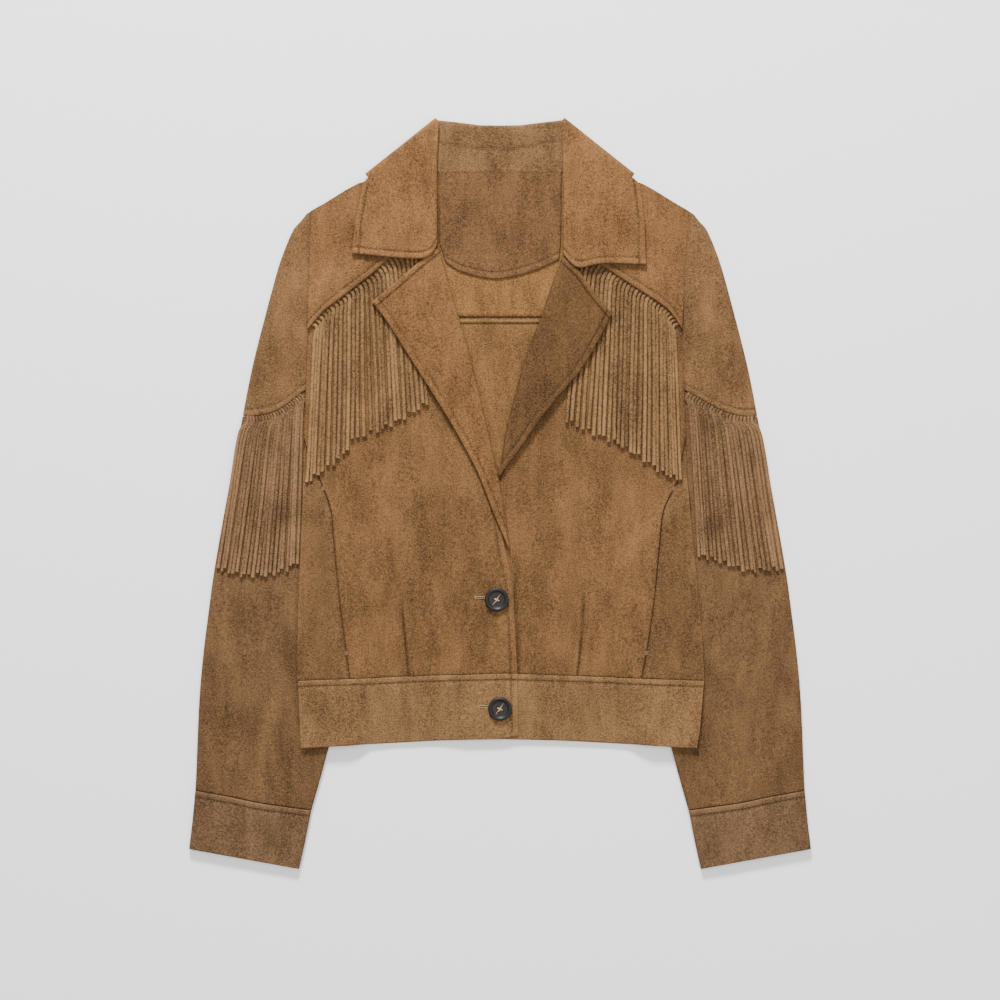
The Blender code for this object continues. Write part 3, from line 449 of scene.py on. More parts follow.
class Stack:
    """How high each layer of cloth lies over the surface."""

    @staticmethod
    def over_sleeve(x: float, down: float) -> float:
        """1 where the body lies on a sleeve, 0 on the surface."""
        return ease_in((abs(x) - column(SLEEVE_LIFT, down) + SLEEVE_RAMP) / SLEEVE_RAMP)

    @staticmethod
    def back(x: float, down: float) -> float:
        """The underside of the back."""
        collar = (1 - ease_in((down - 90.0) / 42.0)) * (1 - ease_in((abs(x) - 132.0) / 36.0))
        return Stack.over_sleeve(x, down) * (SLEEVE_HEIGHT + EASE) + collar * (DOUBLE + EASE)

    @staticmethod
    def front(x: float, down: float) -> float:
        """The underside of a front that lies on the back."""
        part_way = Stack.over_sleeve(x, down)
        return Stack.back(x, down) + CLOTH + EASE + 4 * RAMP_EASE * part_way * (1 - part_way)

    @staticmethod
    def lapped(x: float, down: float) -> float:
        """The underside of the right front, which laps over the left one."""
        lap = ease_in((x + 62.0) / 32.0) * ease_in((down - 285.0) / 40.0)
        return Stack.front(x, down) + lap * (CLOTH + EASE)

    @staticmethod
    def of_front(side: Side) -> Level:
        """Which rule a front follows."""
        return Stack.lapped if side is Side.RIGHT else Stack.front

    @staticmethod
    def above_seam(x: float, down: float, side: Side) -> float:
        """How far a point lies above the yoke seam, squared to the seam."""
        return (column(YOKE_SEAM[::-1], abs(x), "down", side.word) - down) * SEAM_SLOPE

    @staticmethod
    def yoke(side: Side) -> Level:
        """The underside of a front yoke, which rises over the fringe's root.

        Args:
            side: which side.

        Returns:
            The rule.
        """
        def level(x: float, down: float) -> float:
            """The height at one point."""
            rise = 1 - ease_in((Stack.above_seam(x, down, side) - 10.0) / 26.0)
            return Stack.front(x, down) + rise * (CLOTH + STRAND_THICK + 1.3)
        return level

    @staticmethod
    def leaf(side: Side) -> Level:
        """The underside of a collar leaf, on the yoke."""
        yoke = Stack.yoke(side)
        return lambda x, down: yoke(x, down) + CLOTH + 0.8

    @staticmethod
    def lapel(side: Side) -> Level:
        """The underside of a lapel: over the fringe at the chest, on the front below.

        Args:
            side: which side.

        Returns:
            The rule.
        """
        front = Stack.of_front(side)

        def level(x: float, down: float) -> float:
            """The height at one point."""
            fringe = 1 - ease_in((down - 290.0) / 45.0)
            return front(x, down) + CLOTH + 0.5 + fringe * (STRAND_THICK + 0.8)
        return level


class Relief:
    """The soft ridges and troughs of a stretch of cloth."""

    def __init__(self, creases: Sequence[Crease], both_sides: bool = False) -> None:
        """Keep the creases.

        Args:
            creases: the table they come from.
            both_sides: whether `across` is measured outwards on either side.
        """
        self.creases = creases
        self.both_sides = both_sides

    def at(self, x: float, down: float) -> float:
        """How much the cloth rises or sinks at a point, in millimetres.

        Args:
            x: how far from the centre line.
            down: how far down from the collar's top.

        Returns:
            The rise, below 0 in a trough.
        """
        side_shift = 0.0 if x < 0 or not self.both_sides else 5.0
        x = abs(x) + side_shift if self.both_sides else x
        total = 0.0
        for crease in self.creases:
            run = (crease.to_down - crease.down, crease.to_across - crease.across)
            size = run[0] ** 2 + run[1] ** 2
            share = ((down - crease.down) * run[0] + (x - crease.across) * run[1]) / size
            if not -0.25 < share < 1.25:
                continue
            away = (abs((down - crease.down) * run[1] - (x - crease.across) * run[0])) / math.sqrt(size)
            if away < 3 * crease.half_width:
                ends = ease_in((share + 0.25) / 0.35) * ease_in((1.25 - share) / 0.35)
                total += crease.rise * bell(away, crease.half_width) * ends
        ripple = 0.09 * math.sin(x / 6.1 + 0.7 * math.sin(down / 17.0)) * math.sin(down / 23.0 + x / 41.0)
        return total * FOLD_STRENGTH + ripple


@dataclass(frozen=True)
class Suede:
    """One suede finish, in linear colour."""

    name: str
    cloth: tuple[float, float, float]
    slot: str = "suede"
    spread: float = 0.62
    mottle: float = 0.52
    grain: float = 1.0
    sheen: float = 0.06

    def shade(self, factor: float) -> tuple[float, float, float, float]:
        """The cloth's colour made lighter or darker."""
        return (*(min(1.0, part * factor) for part in self.cloth), 1.0)

    def material(self, nap: bpy.types.NodeTree) -> bpy.types.Material:
        """Make the finish's material.

        Args:
            nap: the shared nap group.

        Returns:
            The material.
        """
        material = bpy.data.materials.new(self.name)
        material.use_nodes = True
        nodes, links = material.node_tree.nodes, material.node_tree.links
        shader = fill(nodes["Principled BSDF"],
                      {"Sheen Weight": self.sheen, "Sheen Roughness": 0.45, "Sheen Tint": self.shade(2.0),
                       "Specular IOR Level": 0.06})
        group = nodes.new("ShaderNodeGroup")
        group.node_tree = nap
        fill(group, {"Deep": self.shade(1.0 - self.spread), "Pale": self.shade(1.0 + self.spread * 1.15),
                     "Mottle": self.mottle, "Grain": self.grain})
        place = nodes.new("ShaderNodeTexCoord")
        links.new(place.outputs["Object"], group.inputs["Place"])
        # The marks kept at each point: paler rubbed edges, painted shade in grooves, creases and gaps,
        # painted highlight on ridges, and each strand's tint.
        for name in ("Rub", "Tint"):
            mark = nodes.new("ShaderNodeAttribute")
            mark.attribute_name = name.lower()
            links.new(mark.outputs["Fac"], group.inputs[name])
        bump = add_node(nodes, "Bump", {"Strength": 0.8, "Distance": 0.0009})
        links.new(group.outputs["Height"], bump.inputs["Height"])
        links.new(bump.outputs["Normal"], shader.inputs["Normal"])
        links.new(group.outputs["Colour"], shader.inputs["Base Color"])
        links.new(group.outputs["Roughness"], shader.inputs["Roughness"])
        return material


def add_node(nodes: bpy.types.Nodes, kind: str, values: dict[str, object]) -> bpy.types.Node:
    """Add a shader node and set the sockets that are named."""
    return fill(nodes.new("ShaderNode" + kind), values)


def fill(node: bpy.types.Node, values: dict[str, object]) -> bpy.types.Node:
    """Set a node's sockets by name, and give the node back.

    Args:
        node: the node.
        values: a value for each socket's name.

    Returns:
        The same node.
    """
    for name, value in values.items():
        node.inputs[name].default_value = value
    return node


def math_node(nodes: bpy.types.Nodes, operation: str, values: Sequence[object],
              links: bpy.types.NodeLinks) -> bpy.types.NodeSocket:
    """Add a sum to a group.

    Args:
        nodes: the group's nodes.
        operation: the sum's kind.
        values: numbers or sockets, one for each input.
        links: the group's links.

    Returns:
        The socket that carries the result.
    """
    node = nodes.new("ShaderNodeMath")
    node.operation = operation
    for socket, value in zip(node.inputs, values):
        if isinstance(value, bpy.types.NodeSocket):
            links.new(value, socket)
        else:
            socket.default_value = value
    return node.outputs[0]


class NapGroup:
    """The shared suede nap: fine speckle, soft patches, streaks down the skin, rubbed edges, and painted
    shade and highlight.
    """

    STREAK = (1.0, 0.28, 1.0)

    def __init__(self) -> None:
        """Build the group once."""
        self.tree = bpy.data.node_groups.new("suede nap", "ShaderNodeTree")
        face = self.tree.interface
        for kind, name in (("Vector", "Place"), ("Color", "Deep"), ("Color", "Pale"), ("Float", "Mottle"),
                           ("Float", "Grain"), ("Float", "Rub"), ("Float", "Tint")):
            face.new_socket(name, in_out="INPUT", socket_type="NodeSocket" + kind)
        for kind, name in (("Color", "Colour"), ("Float", "Roughness"), ("Float", "Height")):
            face.new_socket(name, in_out="OUTPUT", socket_type="NodeSocket" + kind)
        self.nodes, self.links = self.tree.nodes, self.tree.links
        self.start = self.nodes.new("NodeGroupInput")
        self.end = self.nodes.new("NodeGroupOutput")
        self._wire()

    def _noise(self, scale: float, detail: float, rough: float, stretch: Place = (1.0, 1.0, 1.0),
               twist: float = 0.0) -> bpy.types.NodeSocket:
        """Add one noise, centred on 0.

        Args:
            scale: how many features in a metre.
            detail: how many finer layers.
            rough: how strong the finer layers are.
            stretch: the scale along each axis.
            twist: how much it is distorted.

        Returns:
            The socket with the noise.
        """
        turn = add_node(self.nodes, "Mapping", {"Scale": stretch})
        self.links.new(self.start.outputs["Place"], turn.inputs["Vector"])
        noise = add_node(self.nodes, "TexNoise",
                         {"Scale": scale, "Detail": detail, "Roughness": rough, "Distortion": twist})
        self.links.new(turn.outputs["Vector"], noise.inputs["Vector"])
        return self._sum("SUBTRACT", noise.outputs["Fac"], 0.5)

    def _sum(self, operation: str, *values: object) -> bpy.types.NodeSocket:
        """Add a sum to this group."""
        return math_node(self.nodes, operation, values, self.links)

    def _plus(self, a: object, b: object) -> bpy.types.NodeSocket:
        """Add two values."""
        return self._sum("ADD", a, b)

    def _times(self, a: object, b: object) -> bpy.types.NodeSocket:
        """Multiply two values."""
        return self._sum("MULTIPLY", a, b)

    def _wire(self) -> None:
        """Join the noises into colour, roughness and height."""
        grain, mottle, rub, tint = (self.start.outputs[name] for name in ("Grain", "Mottle", "Rub", "Tint"))
        speckle = self._noise(760.0, 2.0, 0.7)
        fleck = self._noise(340.0, 3.0, 0.7, (1.0, 0.7, 1.0))
        patch = self._noise(24.0, 1.6, 0.45, (1.0, 0.7, 1.0), 0.6)
        streak = self._noise(105.0, 2.5, 0.55, self.STREAK, 0.4)
        fine = self._times(self._plus(self._times(speckle, 2.3), self._times(fleck, 0.55)), grain)
        soft = self._times(self._plus(patch, self._times(streak, 0.8)), mottle)
        value = self._plus(self._plus(fine, self._times(soft, 1.5)), 0.47)
        # Paler rubbed edges, and painted shade in grooves, creases and gaps with painted highlight on
        # ridges, varied by the patches.
        wear_and_shading_tone = self._times(rub, self._plus(0.34, patch))
        value = self._plus(self._plus(value, wear_and_shading_tone), tint)
        mix = self.nodes.new("ShaderNodeMix")
        mix.data_type = "RGBA"
        self.links.new(value, mix.inputs["Factor"])
        self.links.new(self.start.outputs["Deep"], mix.inputs[6])
        self.links.new(self.start.outputs["Pale"], mix.inputs[7])
        self.links.new(mix.outputs[2], self.end.inputs["Colour"])
        self.links.new(self._plus(self._times(soft, 0.18), 0.9), self.end.inputs["Roughness"])
        height = self._plus(self._times(speckle, 0.7), self._times(fleck, 0.9))
        self.links.new(height, self.end.inputs["Height"])


class Cloth:
    """Builds one closed shell of cloth from points, and keeps at each point its marks of wear and of
    painted shade and highlight.
    """

    SHARP = math.radians(55.0)

    def __init__(self, name: str) -> None:
        """Start an empty shell.

        Args:
            name: its name.
        """
        self.name = name
        self.outside: list[Place] = []
        self.inside: list[Place] = []
        self.rub: list[float] = []
        self.tint: list[float] = []
        self.quads: list[tuple[int, ...]] = []

    def add(self, outside: Place, inside: Place, rub: float = 0.0, tint: float = 0.0) -> None:
        """Add a point of the outer face with the one behind it.

        Args:
            outside: the outer point.
            inside: the inner point.
            rub: above 0 where the nap is rubbed pale and for painted highlight on ridges, below 0 for
                painted shade in a groove, crease or gap.
            tint: how much lighter this stretch of skin is.
        """
        self.outside.append(outside)
        self.inside.append(inside)
        self.rub.append(rub)
        self.tint.append(tint)

    def grid(self, columns: int, rows: int, closed: bool = False, first: int = 0) -> None:
        """Join points that were added row by row.

        Args:
            columns: the number of points in a row.
            rows: the number of rows.
            closed: whether the last column meets the first.
            first: the number of the first point.
        """
        for j in range(rows - 1):
            for i in range(columns if closed else columns - 1):
                k = (i + 1) % columns
                low, high = first + j * columns, first + (j + 1) * columns
                self.quads.append((low + i, low + k, high + k, high + i))

    def close(self, material: bpy.types.Material) -> bpy.types.Object:
        """Close the shell round its free edges and put it in the scene.

        Args:
            material: its finish.

        Returns:
            The piece.
        """
        count = len(self.outside)
        uses = {(a, b) for quad in self.quads for a, b in zip(quad, quad[1:] + quad[:1])}
        faces = list(self.quads)
        faces += [tuple(count + index for index in reversed(quad)) for quad in self.quads]
        faces += [(b, a, count + a, count + b) for a, b in sorted(uses) if (b, a) not in uses]
        piece = plain_piece(self.name, [*self.outside, *self.inside], faces, material)
        for name, values in (("rub", self.rub), ("tint", self.tint)):
            mark = piece.data.attributes.new(name, "FLOAT", "POINT")
            mark.data.foreach_set("value", values + values)
        piece.data.set_sharp_from_angle(angle=self.SHARP)
        return piece


def put(name: str, data: bpy.types.ID) -> bpy.types.Object:
    """Put an object that shows some data in the scene.

    Args:
        name: its name.
        data: its mesh, lamp or camera.

    Returns:
        The object.
    """
    made = bpy.data.objects.new(name, data)
    bpy.context.scene.collection.objects.link(made)
    return made


def plain_piece(name: str, points: Sequence[Place], faces: Sequence[Sequence[int]],
                material: bpy.types.Material) -> bpy.types.Object:
    """Make an object with outward faces and smooth shading.

    Args:
        name: its name.
        points: its points in metres.
        faces: its faces.
        material: its finish.

    Returns:
        The object, in the scene.
    """
    mesh = bpy.data.meshes.new(name)
    mesh.from_pydata(points, [], faces)
    shape = bmesh.new()
    shape.from_mesh(mesh)
    bmesh.ops.recalc_face_normals(shape, faces=shape.faces)
    shape.to_mesh(mesh)
    shape.free()
    mesh.materials.append(material)
    mesh.shade_smooth()
    return put(name, mesh)


GROOVE = 6.2
EDGE_REACH = 16.0
PANEL_STEP = 4.2
DART_STATIONS = (-1.6, -0.8, -0.3, 0.0, 0.3, 0.8, 1.6, 2.8)
EDGE_STATIONS = (0.0, 0.3, 0.8, 1.6, 3.0, 4.6, 5.4, 5.9, 6.5, 7.1, 8.4, 10.5)
PLAIN_STATIONS = (0.0, 0.4, 1.0, 2.2, 4.6)


def stations(size: float, sewn_start: bool, sewn_end: bool, step: float) -> list[float]:
    """Where points lie along a stretch: close together at its edges, even between.

    Args:
        size: the stretch's length in millimetres.
        sewn_start: whether a row of stitching follows the start.
        sewn_end: whether one follows the end.
        step: the spacing in the middle.

    Returns:
        The distances as shares of the stretch.
    """
    near = EDGE_STATIONS if sewn_start else PLAIN_STATIONS
    far = EDGE_STATIONS if sewn_end else PLAIN_STATIONS
    squeeze = min(1.0, size / (near[-1] + far[-1] + step))
    head, tail = [s * squeeze for s in near], [size - s * squeeze for s in reversed(far)]
    gap = tail[0] - head[-1]
    count = max(1, round(gap / step))
    middle = [head[-1] + gap * k / count for k in range(1, count)]
    return [reach / size for reach in head + middle + tail]


def edge_form(away: float, run: float, radius: float, turned: bool, sewn: bool) -> tuple[float, float]:
    """How an edge shapes the cloth beside it.

    Args:
        away: how far the point lies from the edge.
        run: how far along the edge it lies.
        radius: how round the edge is.
        turned: whether the edge is free, and so rubbed.
        sewn: whether a row of stitching follows it.

    Returns:
        The rise in millimetres, and the mark of wear and painted shading.
    """
    rise = rub = 0.0
    if away < radius:
        rise -= radius - math.sqrt(max(0.0, radius ** 2 - (radius - away) ** 2))
    if turned:
        rub += 0.62 * bell(away, 1.1)
    if sewn:
        groove = bell(away - GROOVE, 0.85)
        pull = 0.5 + 0.5 * math.sin(run / 1.9 + 2.0 * math.sin(run / 13.0))
        rise += 0.38 * bell(away - 3.0, 2.2) - 0.6 * groove + 0.22 * (pull - 0.5) * bell(away - 5.0, 4.5)
        # Painted shade in the stitched groove, and painted highlight on the ridge beside it.
        rub += 0.2 * bell(away - 3.0, 2.0) - 1.0 * groove
    elif not turned:
        # Painted shade along a plain edge where two pieces meet.
        rub -= 0.6 * bell(away, 1.3)
    return rise, rub


def all_edges(spots: Sequence[Plan], radius: float, turned: Sequence[bool],
              sewn: Sequence[bool]) -> tuple[float, float]:
    """How all the edges near a point shape the cloth there.

    Args:
        spots: how far the point lies from each edge, and how far along it.
        radius: how round the edges are.
        turned: which edges are free.
        sewn: which edges a row of stitching follows.

    Returns:
        The rise in millimetres, and the mark of wear and painted shading.
    """
    rise = rub = 0.0
    for (away, run), is_turned, is_sewn in zip(spots, turned, sewn):
        if away < EDGE_REACH:
            more = edge_form(away, run, radius, is_turned, is_sewn)
            rise, rub = rise + more[0], rub + more[1]
    return rise, rub


class Thread:
    """Gathers stitches into one mesh."""

    HALF_LENGTH, HALF_WIDTH, HEIGHT = 1.15, 0.27, 0.24

    def __init__(self, name: str) -> None:
        """Start with no stitches.

        Args:
            name: its name.
        """
        self.name = name
        self.points: list[Place] = []
        self.faces: list[tuple[int, ...]] = []

    def stitch(self, start: Place, end: Place, half_width: float = HALF_WIDTH,
               height: float = HEIGHT) -> None:
        """Lay one stitch between two places in metres, as a low rounded bar.

        Args:
            start: where it leaves the cloth.
            end: where it enters again.
            half_width: half its width in millimetres.
            height: how proud it stands in millimetres.
        """
        run = [end[k] - start[k] for k in (0, 1)]
        size = math.hypot(*run) or 1.0
        side = (-run[1] / size * half_width * MM, run[0] / size * half_width * MM)
        first = len(self.points)
        for share, up, wide in ((0.0, -0.1, 0.5), (0.25, 0.8, 1.0), (0.75, 0.8, 1.0), (1.0, -0.1, 0.5)):
            at = between(start, end, share)
            top = at[2] + up * height * MM
            self.points += [(at[0] + side[0] * wide, at[1] + side[1] * wide, top - 0.12 * MM),
                            (at[0], at[1], top + 0.2 * height * MM),
                            (at[0] - side[0] * wide, at[1] - side[1] * wide, top - 0.12 * MM)]
        for n in range(3):
            for m in range(2):
                a = first + 3 * n + m
                self.faces.append((a, a + 1, a + 4, a + 3))

    def row(self, path: Sequence[Place], pitch: float = STITCH_PITCH) -> None:
        """Lay stitches along a path of places in metres.

        Args:
            path: the places.
            pitch: the stitches' spacing in millimetres.
        """
        reach, want = 0.0, 0.4
        start = None
        for a, b in zip(path, path[1:]):
            span = math.dist(a, b) / MM
            while span > 0 and want <= reach + span:
                share = (want - reach) / span
                at = between(a, b, share)
                if start is None:
                    start, want = at, want + pitch * 0.68
                else:
                    self.stitch(start, at)
                    start, want = None, want + pitch * 0.32
            reach += span

    def close(self, material: bpy.types.Material) -> None:
        """Make the stitches one piece that rides on the jacket.

        Args:
            material: its finish.
        """
        piece = plain_piece(self.name, self.points, self.faces, material)
        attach(piece, "root")


@dataclass
class Wardrobe:
    """What every piece of the jacket is made with: its finishes and the thread it is sewn with."""

    suede: dict[str, bpy.types.Material]
    thread: Thread
    made: list[bpy.types.Object] = field(default_factory=list)

    def place(self, cloth: Cloth, finish: Suede, size: Plan, held: str, rests_on: Sequence[str],
              around: bool = False) -> None:
        """Close a piece of cloth and hang it on the jacket.

        Args:
            cloth: the shell, named after the node it stands for.
            finish: its finish.
            size: the cut's width and length in millimetres; not used.
            held: how it is held; not used.
            rests_on: the nodes it lies on; not used.
            around: whether it is a tube, whose cut goes all round; not used.
        """
        node = cloth.name
        cloth.name = "cloth_" + node
        piece = cloth.close(self.suede[finish.name])
        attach(piece, "root")
        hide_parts(node)
        self.made.append(piece)


@dataclass
class Panel:
    """A flat piece of cloth over a patch of the plan.

    The four flags and insets are for its start, end, low and high edges, in that order.
    """

    node: str
    patch: Patch
    level: Level
    thick: float
    finish: Suede
    rests_on: tuple[str, ...]
    relief: Relief
    insets: tuple[float, float, float, float] = (0.2, 0.2, 0.2, 0.2)
    turned: tuple[bool, bool, bool, bool] = (False, False, False, False)
    sewn: tuple[bool, bool, bool, bool] = (False, False, False, False)
    step: float = PANEL_STEP
    ridge: Callable[[float, float], tuple[float, float]] | None = None
    dart: Plan | None = None

    def form(self, u: float, v: float) -> tuple[Plan, float, float]:
        """One point of the piece.

        Args:
            u: the share from start to end.
            v: the share from low to high.

        Returns:
            The plan point, its rise over the plain cloth, and its mark of wear and painted shading.
        """
        width, length = self.patch.width(v), self.patch.length(u)
        across, along = u * width, v * length
        spots = ((across, along), (width - across, along), (along, across), (length - along, across))
        rise, rub = all_edges(spots, self.thick * 0.5, self.turned, self.sewn)
        left, right, low, high = self.insets
        spot = self.patch.at((left + u * (width - left - right)) / width,
                             (low + v * (length - low - high)) / length)
        fold = self.relief.at(*spot)
        rise += fold
        # Painted shading of the creases: paler on ridges, darker in troughs.
        rub += 0.16 * fold
        if self.dart:
            away, length_left = (u - self.dart[0]) * width, ease_in((self.dart[1] - v) / 0.05)
            rise += (0.4 * bell(away - 3.2, 2.2) - 0.75 * bell(away, 1.0)) * length_left
            # Painted shade along the dart's line, with painted highlight beside it.
            rub += (0.3 * bell(away - 2.6, 1.6) - 1.3 * bell(away, 0.9)) * length_left
        if self.ridge:
            more = self.ridge(*spot)
            rise, rub = rise + more[0], rub + more[1]
        return spot, max(rise, -self.thick * 0.75), rub

    def build(self, wardrobe: Wardrobe) -> None:
        """Make the piece and sew its edges.

        Args:
            wardrobe: what it is made with.
        """
        width, length = self.patch.cut()
        us = stations(width, self.sewn[0], self.sewn[1], self.step)
        vs = stations(length, self.sewn[2], self.sewn[3], self.step)
        if self.dart:
            us = sorted(us + [self.dart[0] + away / width for away in DART_STATIONS])
        cloth = Cloth(self.node)
        for v in vs:
            for u in us:
                spot, rise, rub = self.form(u, v)
                low = self.level(*spot)
                cloth.add(world(spot, low + self.thick + rise), world(spot, low), rub)
        cloth.grid(len(us), len(vs))
        self.stitch(wardrobe.thread)
        wardrobe.place(cloth, self.finish, (width, length), "laid", self.rests_on)

    def stitch(self, thread: Thread) -> None:
        """Lay the rows of stitching that follow the sewn edges.

        Args:
            thread: what it is sewn with.
        """
        steps = 60
        for edge, sewn in enumerate(self.sewn):
            if not sewn:
                continue
            path = []
            for k in range(steps + 1):
                share = k / steps
                if edge < 2:
                    u = GROOVE / self.patch.width(share)
                    spot = (u if edge == 0 else 1 - u, share)
                else:
                    v = GROOVE / self.patch.length(share)
                    spot = (share, v if edge == 2 else 1 - v)
                if edge < 2 and self.sewn[2] and share * self.patch.length(spot[0]) < GROOVE:
                    continue
                point, rise, _ = self.form(*spot)
                path.append(world(point, self.level(*point) + self.thick + rise))
            thread.row(path)


@dataclass
class Lapel(Panel):
    """A turned back front, rolled down to the front at its fold."""

    foot: Level = Stack.front
    TURNS = tuple(math.radians(angle) for angle in (15, 30, 45, 60, 75, 90))

    @staticmethod
    def curl(across: float, below: float) -> float:
        """How far the free edge and the notch stand off the front, in millimetres."""
        return 1.5 * bell(across, 10.0) + 0.9 * bell(below, 12.0) * (1 - bell(across, 10.0))

    def build(self, wardrobe: Wardrobe) -> None:
        """Make the lapel with its roll.

        Args:
            wardrobe: what it is made with.
        """
        width, length = self.patch.cut()
        vs = stations(length, False, True, self.step)
        us = stations(width, True, False, self.step)[:-3]
        cloth = Cloth(self.node)
        half = self.thick * 0.5
        for v in vs:
            wide = self.patch.width(v)
            flat = wide - FOLD_WALL
            for share in (u / us[-1] for u in us):
                spot, rise, rub = self.form(share * flat / wide, v)
                rise += 0.45 * bell(wide - share * flat - 13.0, 9.0) * min(1.0, wide / 40.0)
                lift = self.curl(share * flat, (1 - v) * self.patch.length(share))
                low = self.level(*spot)
                cloth.add(world(spot, low + self.thick + rise + lift), world(spot, low + lift), rub)
            for turn in self.TURNS:
                u = (flat + FOLD_WALL * math.sin(turn)) / wide
                spot, rise, rub = self.form(min(1.0, u), v)
                away = min(wide - u * wide, half)
                rise += half - math.sqrt(max(0.0, half ** 2 - (half - away) ** 2))
                drop = FOLD_WALL * (1 - math.cos(turn)) * 0.85
                cloth.add(world(spot, self.level(*spot) + self.thick + rise - drop),
                          world(spot, self.foot(*spot) + 0.5), rub + 0.25 * math.sin(turn))
        cloth.grid(len(us) + len(self.TURNS), len(vs))
        self.stitch(wardrobe.thread)
        wardrobe.place(cloth, self.finish, (width, length), "folded", self.rests_on)


def nose(radius: float, count: int = 7) -> list[Plan]:
    """Points round a half circle: how far in from the edge, and how high."""
    turns = [math.pi * (k + 1) / (count + 1) for k in range(count)]
    return [(radius - radius * math.sin(turn), radius - radius * math.cos(turn)) for turn in turns]


@dataclass
class Tube:
    """A sleeve, cuff or cap: a flattened tube, or one open towards the body."""

    node: str
    patch: Patch
    height: float
    wall: float
    whole: bool
    finish: Suede
    rests_on: tuple[str, ...]
    relief: Relief
    insets: tuple[float, float] = (0.0, 0.0)
    turned: tuple[bool, bool] = (False, False)
    sewn: tuple[bool, bool] = (False, False)
    step: float = 4.4
    runs: int = 24
    lift: float = 0.0

    def ring(self, width: float, inset: float) -> list[Plan]:
        """The section: lower run, outer nose, upper run, and the inner nose of a whole tube.

        Args:
            width: the piece's width there.
            inset: how far the section lies inside the cloth's outer face.

        Returns:
            Points of reach from the outer edge and height.
        """
        radius = min(self.height / 2 - inset, width / 2 - inset)
        near = inset + radius
        far = (width - inset - radius) if self.whole else width
        run = [near + (far - near) * k / self.runs for k in range(self.runs + 1)]
        rise = (self.height / 2 - inset) / radius
        points = [(reach, inset) for reach in reversed(run)]
        points += [(inset + away, inset + up * rise) for away, up in nose(radius)]
        points += [(reach, self.height - inset) for reach in run]
        if self.whole:
            points += [(width - inset - away, self.height - inset - up * rise)
                       for away, up in nose(radius)]
        return points

    def top(self, u: float, v: float, width: float) -> tuple[Plan, float, float]:
        """One point of the upper side: its plan, rise, and mark of wear and painted shading.

        Args:
            u: the share from start to end.
            v: the share from low to high.
            width: the piece's width there.

        Returns:
            The plan point, its rise, and its mark of wear and painted shading.
        """
        length = self.patch.length(u)
        share = (self.insets[0] + v * (length - sum(self.insets))) / length
        spot = self.patch.at(u, share)
        reach = u * width
        spots = ((v * length, reach), ((1 - v) * length, reach))
        rise, rub = all_edges(spots, self.wall * 0.45, self.turned, self.sewn)
        fold = self.relief.at(*spot)
        edge = min(reach, width - reach if self.whole else width)
        flat = ease_in(edge / 14.0)
        if not self.whole:
            inner = width - reach
            rise += 0.9 * bell(v * length, 9.0) * flat - 1.3 * bell(inner, 4.0)
            # Painted shade along the open inner edge, where the cap meets the body.
            rub -= 0.35 * bell(inner, 1.6)
        # Painted shading of the creases, and paler near the folded edges.
        return spot, rise + fold * flat + self.lift * flat, rub + 0.16 * fold + 0.12 * bell(edge, 3.0)

    def build(self, wardrobe: Wardrobe) -> None:
        """Make the tube and sew its ends.

        Args:
            wardrobe: what it is made with.
        """
        widest, length = self.patch.cut()
        vs = stations(length, self.sewn[0], self.sewn[1], self.step)
        cloth = Cloth(self.node)
        for v in vs:
            width = self.patch.width(v)
            for outer, inner in zip(self.ring(width, 0.0), self.ring(width, self.wall)):
                places = []
                for (reach, up), shaped in ((outer, True), (inner, False)):
                    spot, rise, rub = self.top(reach / width, v, width)
                    share = ease_in((up / self.height - 0.5) * 2)
                    places.append(world(spot, up + (rise * share if shaped else 0.0)))
                    if shaped:
                        mark = rub * share
                cloth.add(places[0], places[1], mark)
        cloth.grid(len(cloth.outside) // len(vs), len(vs), closed=self.whole)
        for edge, sewn in enumerate(self.sewn):
            if sewn:
                wardrobe.thread.row(self.seam(edge))
        held = "folded" if self.whole else "laid"
        wardrobe.place(cloth, self.finish, (widest + self.height, length), held, self.rests_on, True)

    def seam(self, edge: int) -> list[Place]:
        """The stitching's path near the low end, 0, or the high end, 1.

        Args:
            edge: 0 for the low end and 1 for the high end.

        Returns:
            The path's places.
        """
        path = []
        for k in range(61):
            u = 0.02 + 0.96 * k / 60
            v = GROOVE / self.patch.length(u)
            v = v if edge == 0 else 1 - v
            spot, rise, _ = self.top(u, v, self.patch.width(v))
            path.append(world(spot, self.height + rise))
        return path


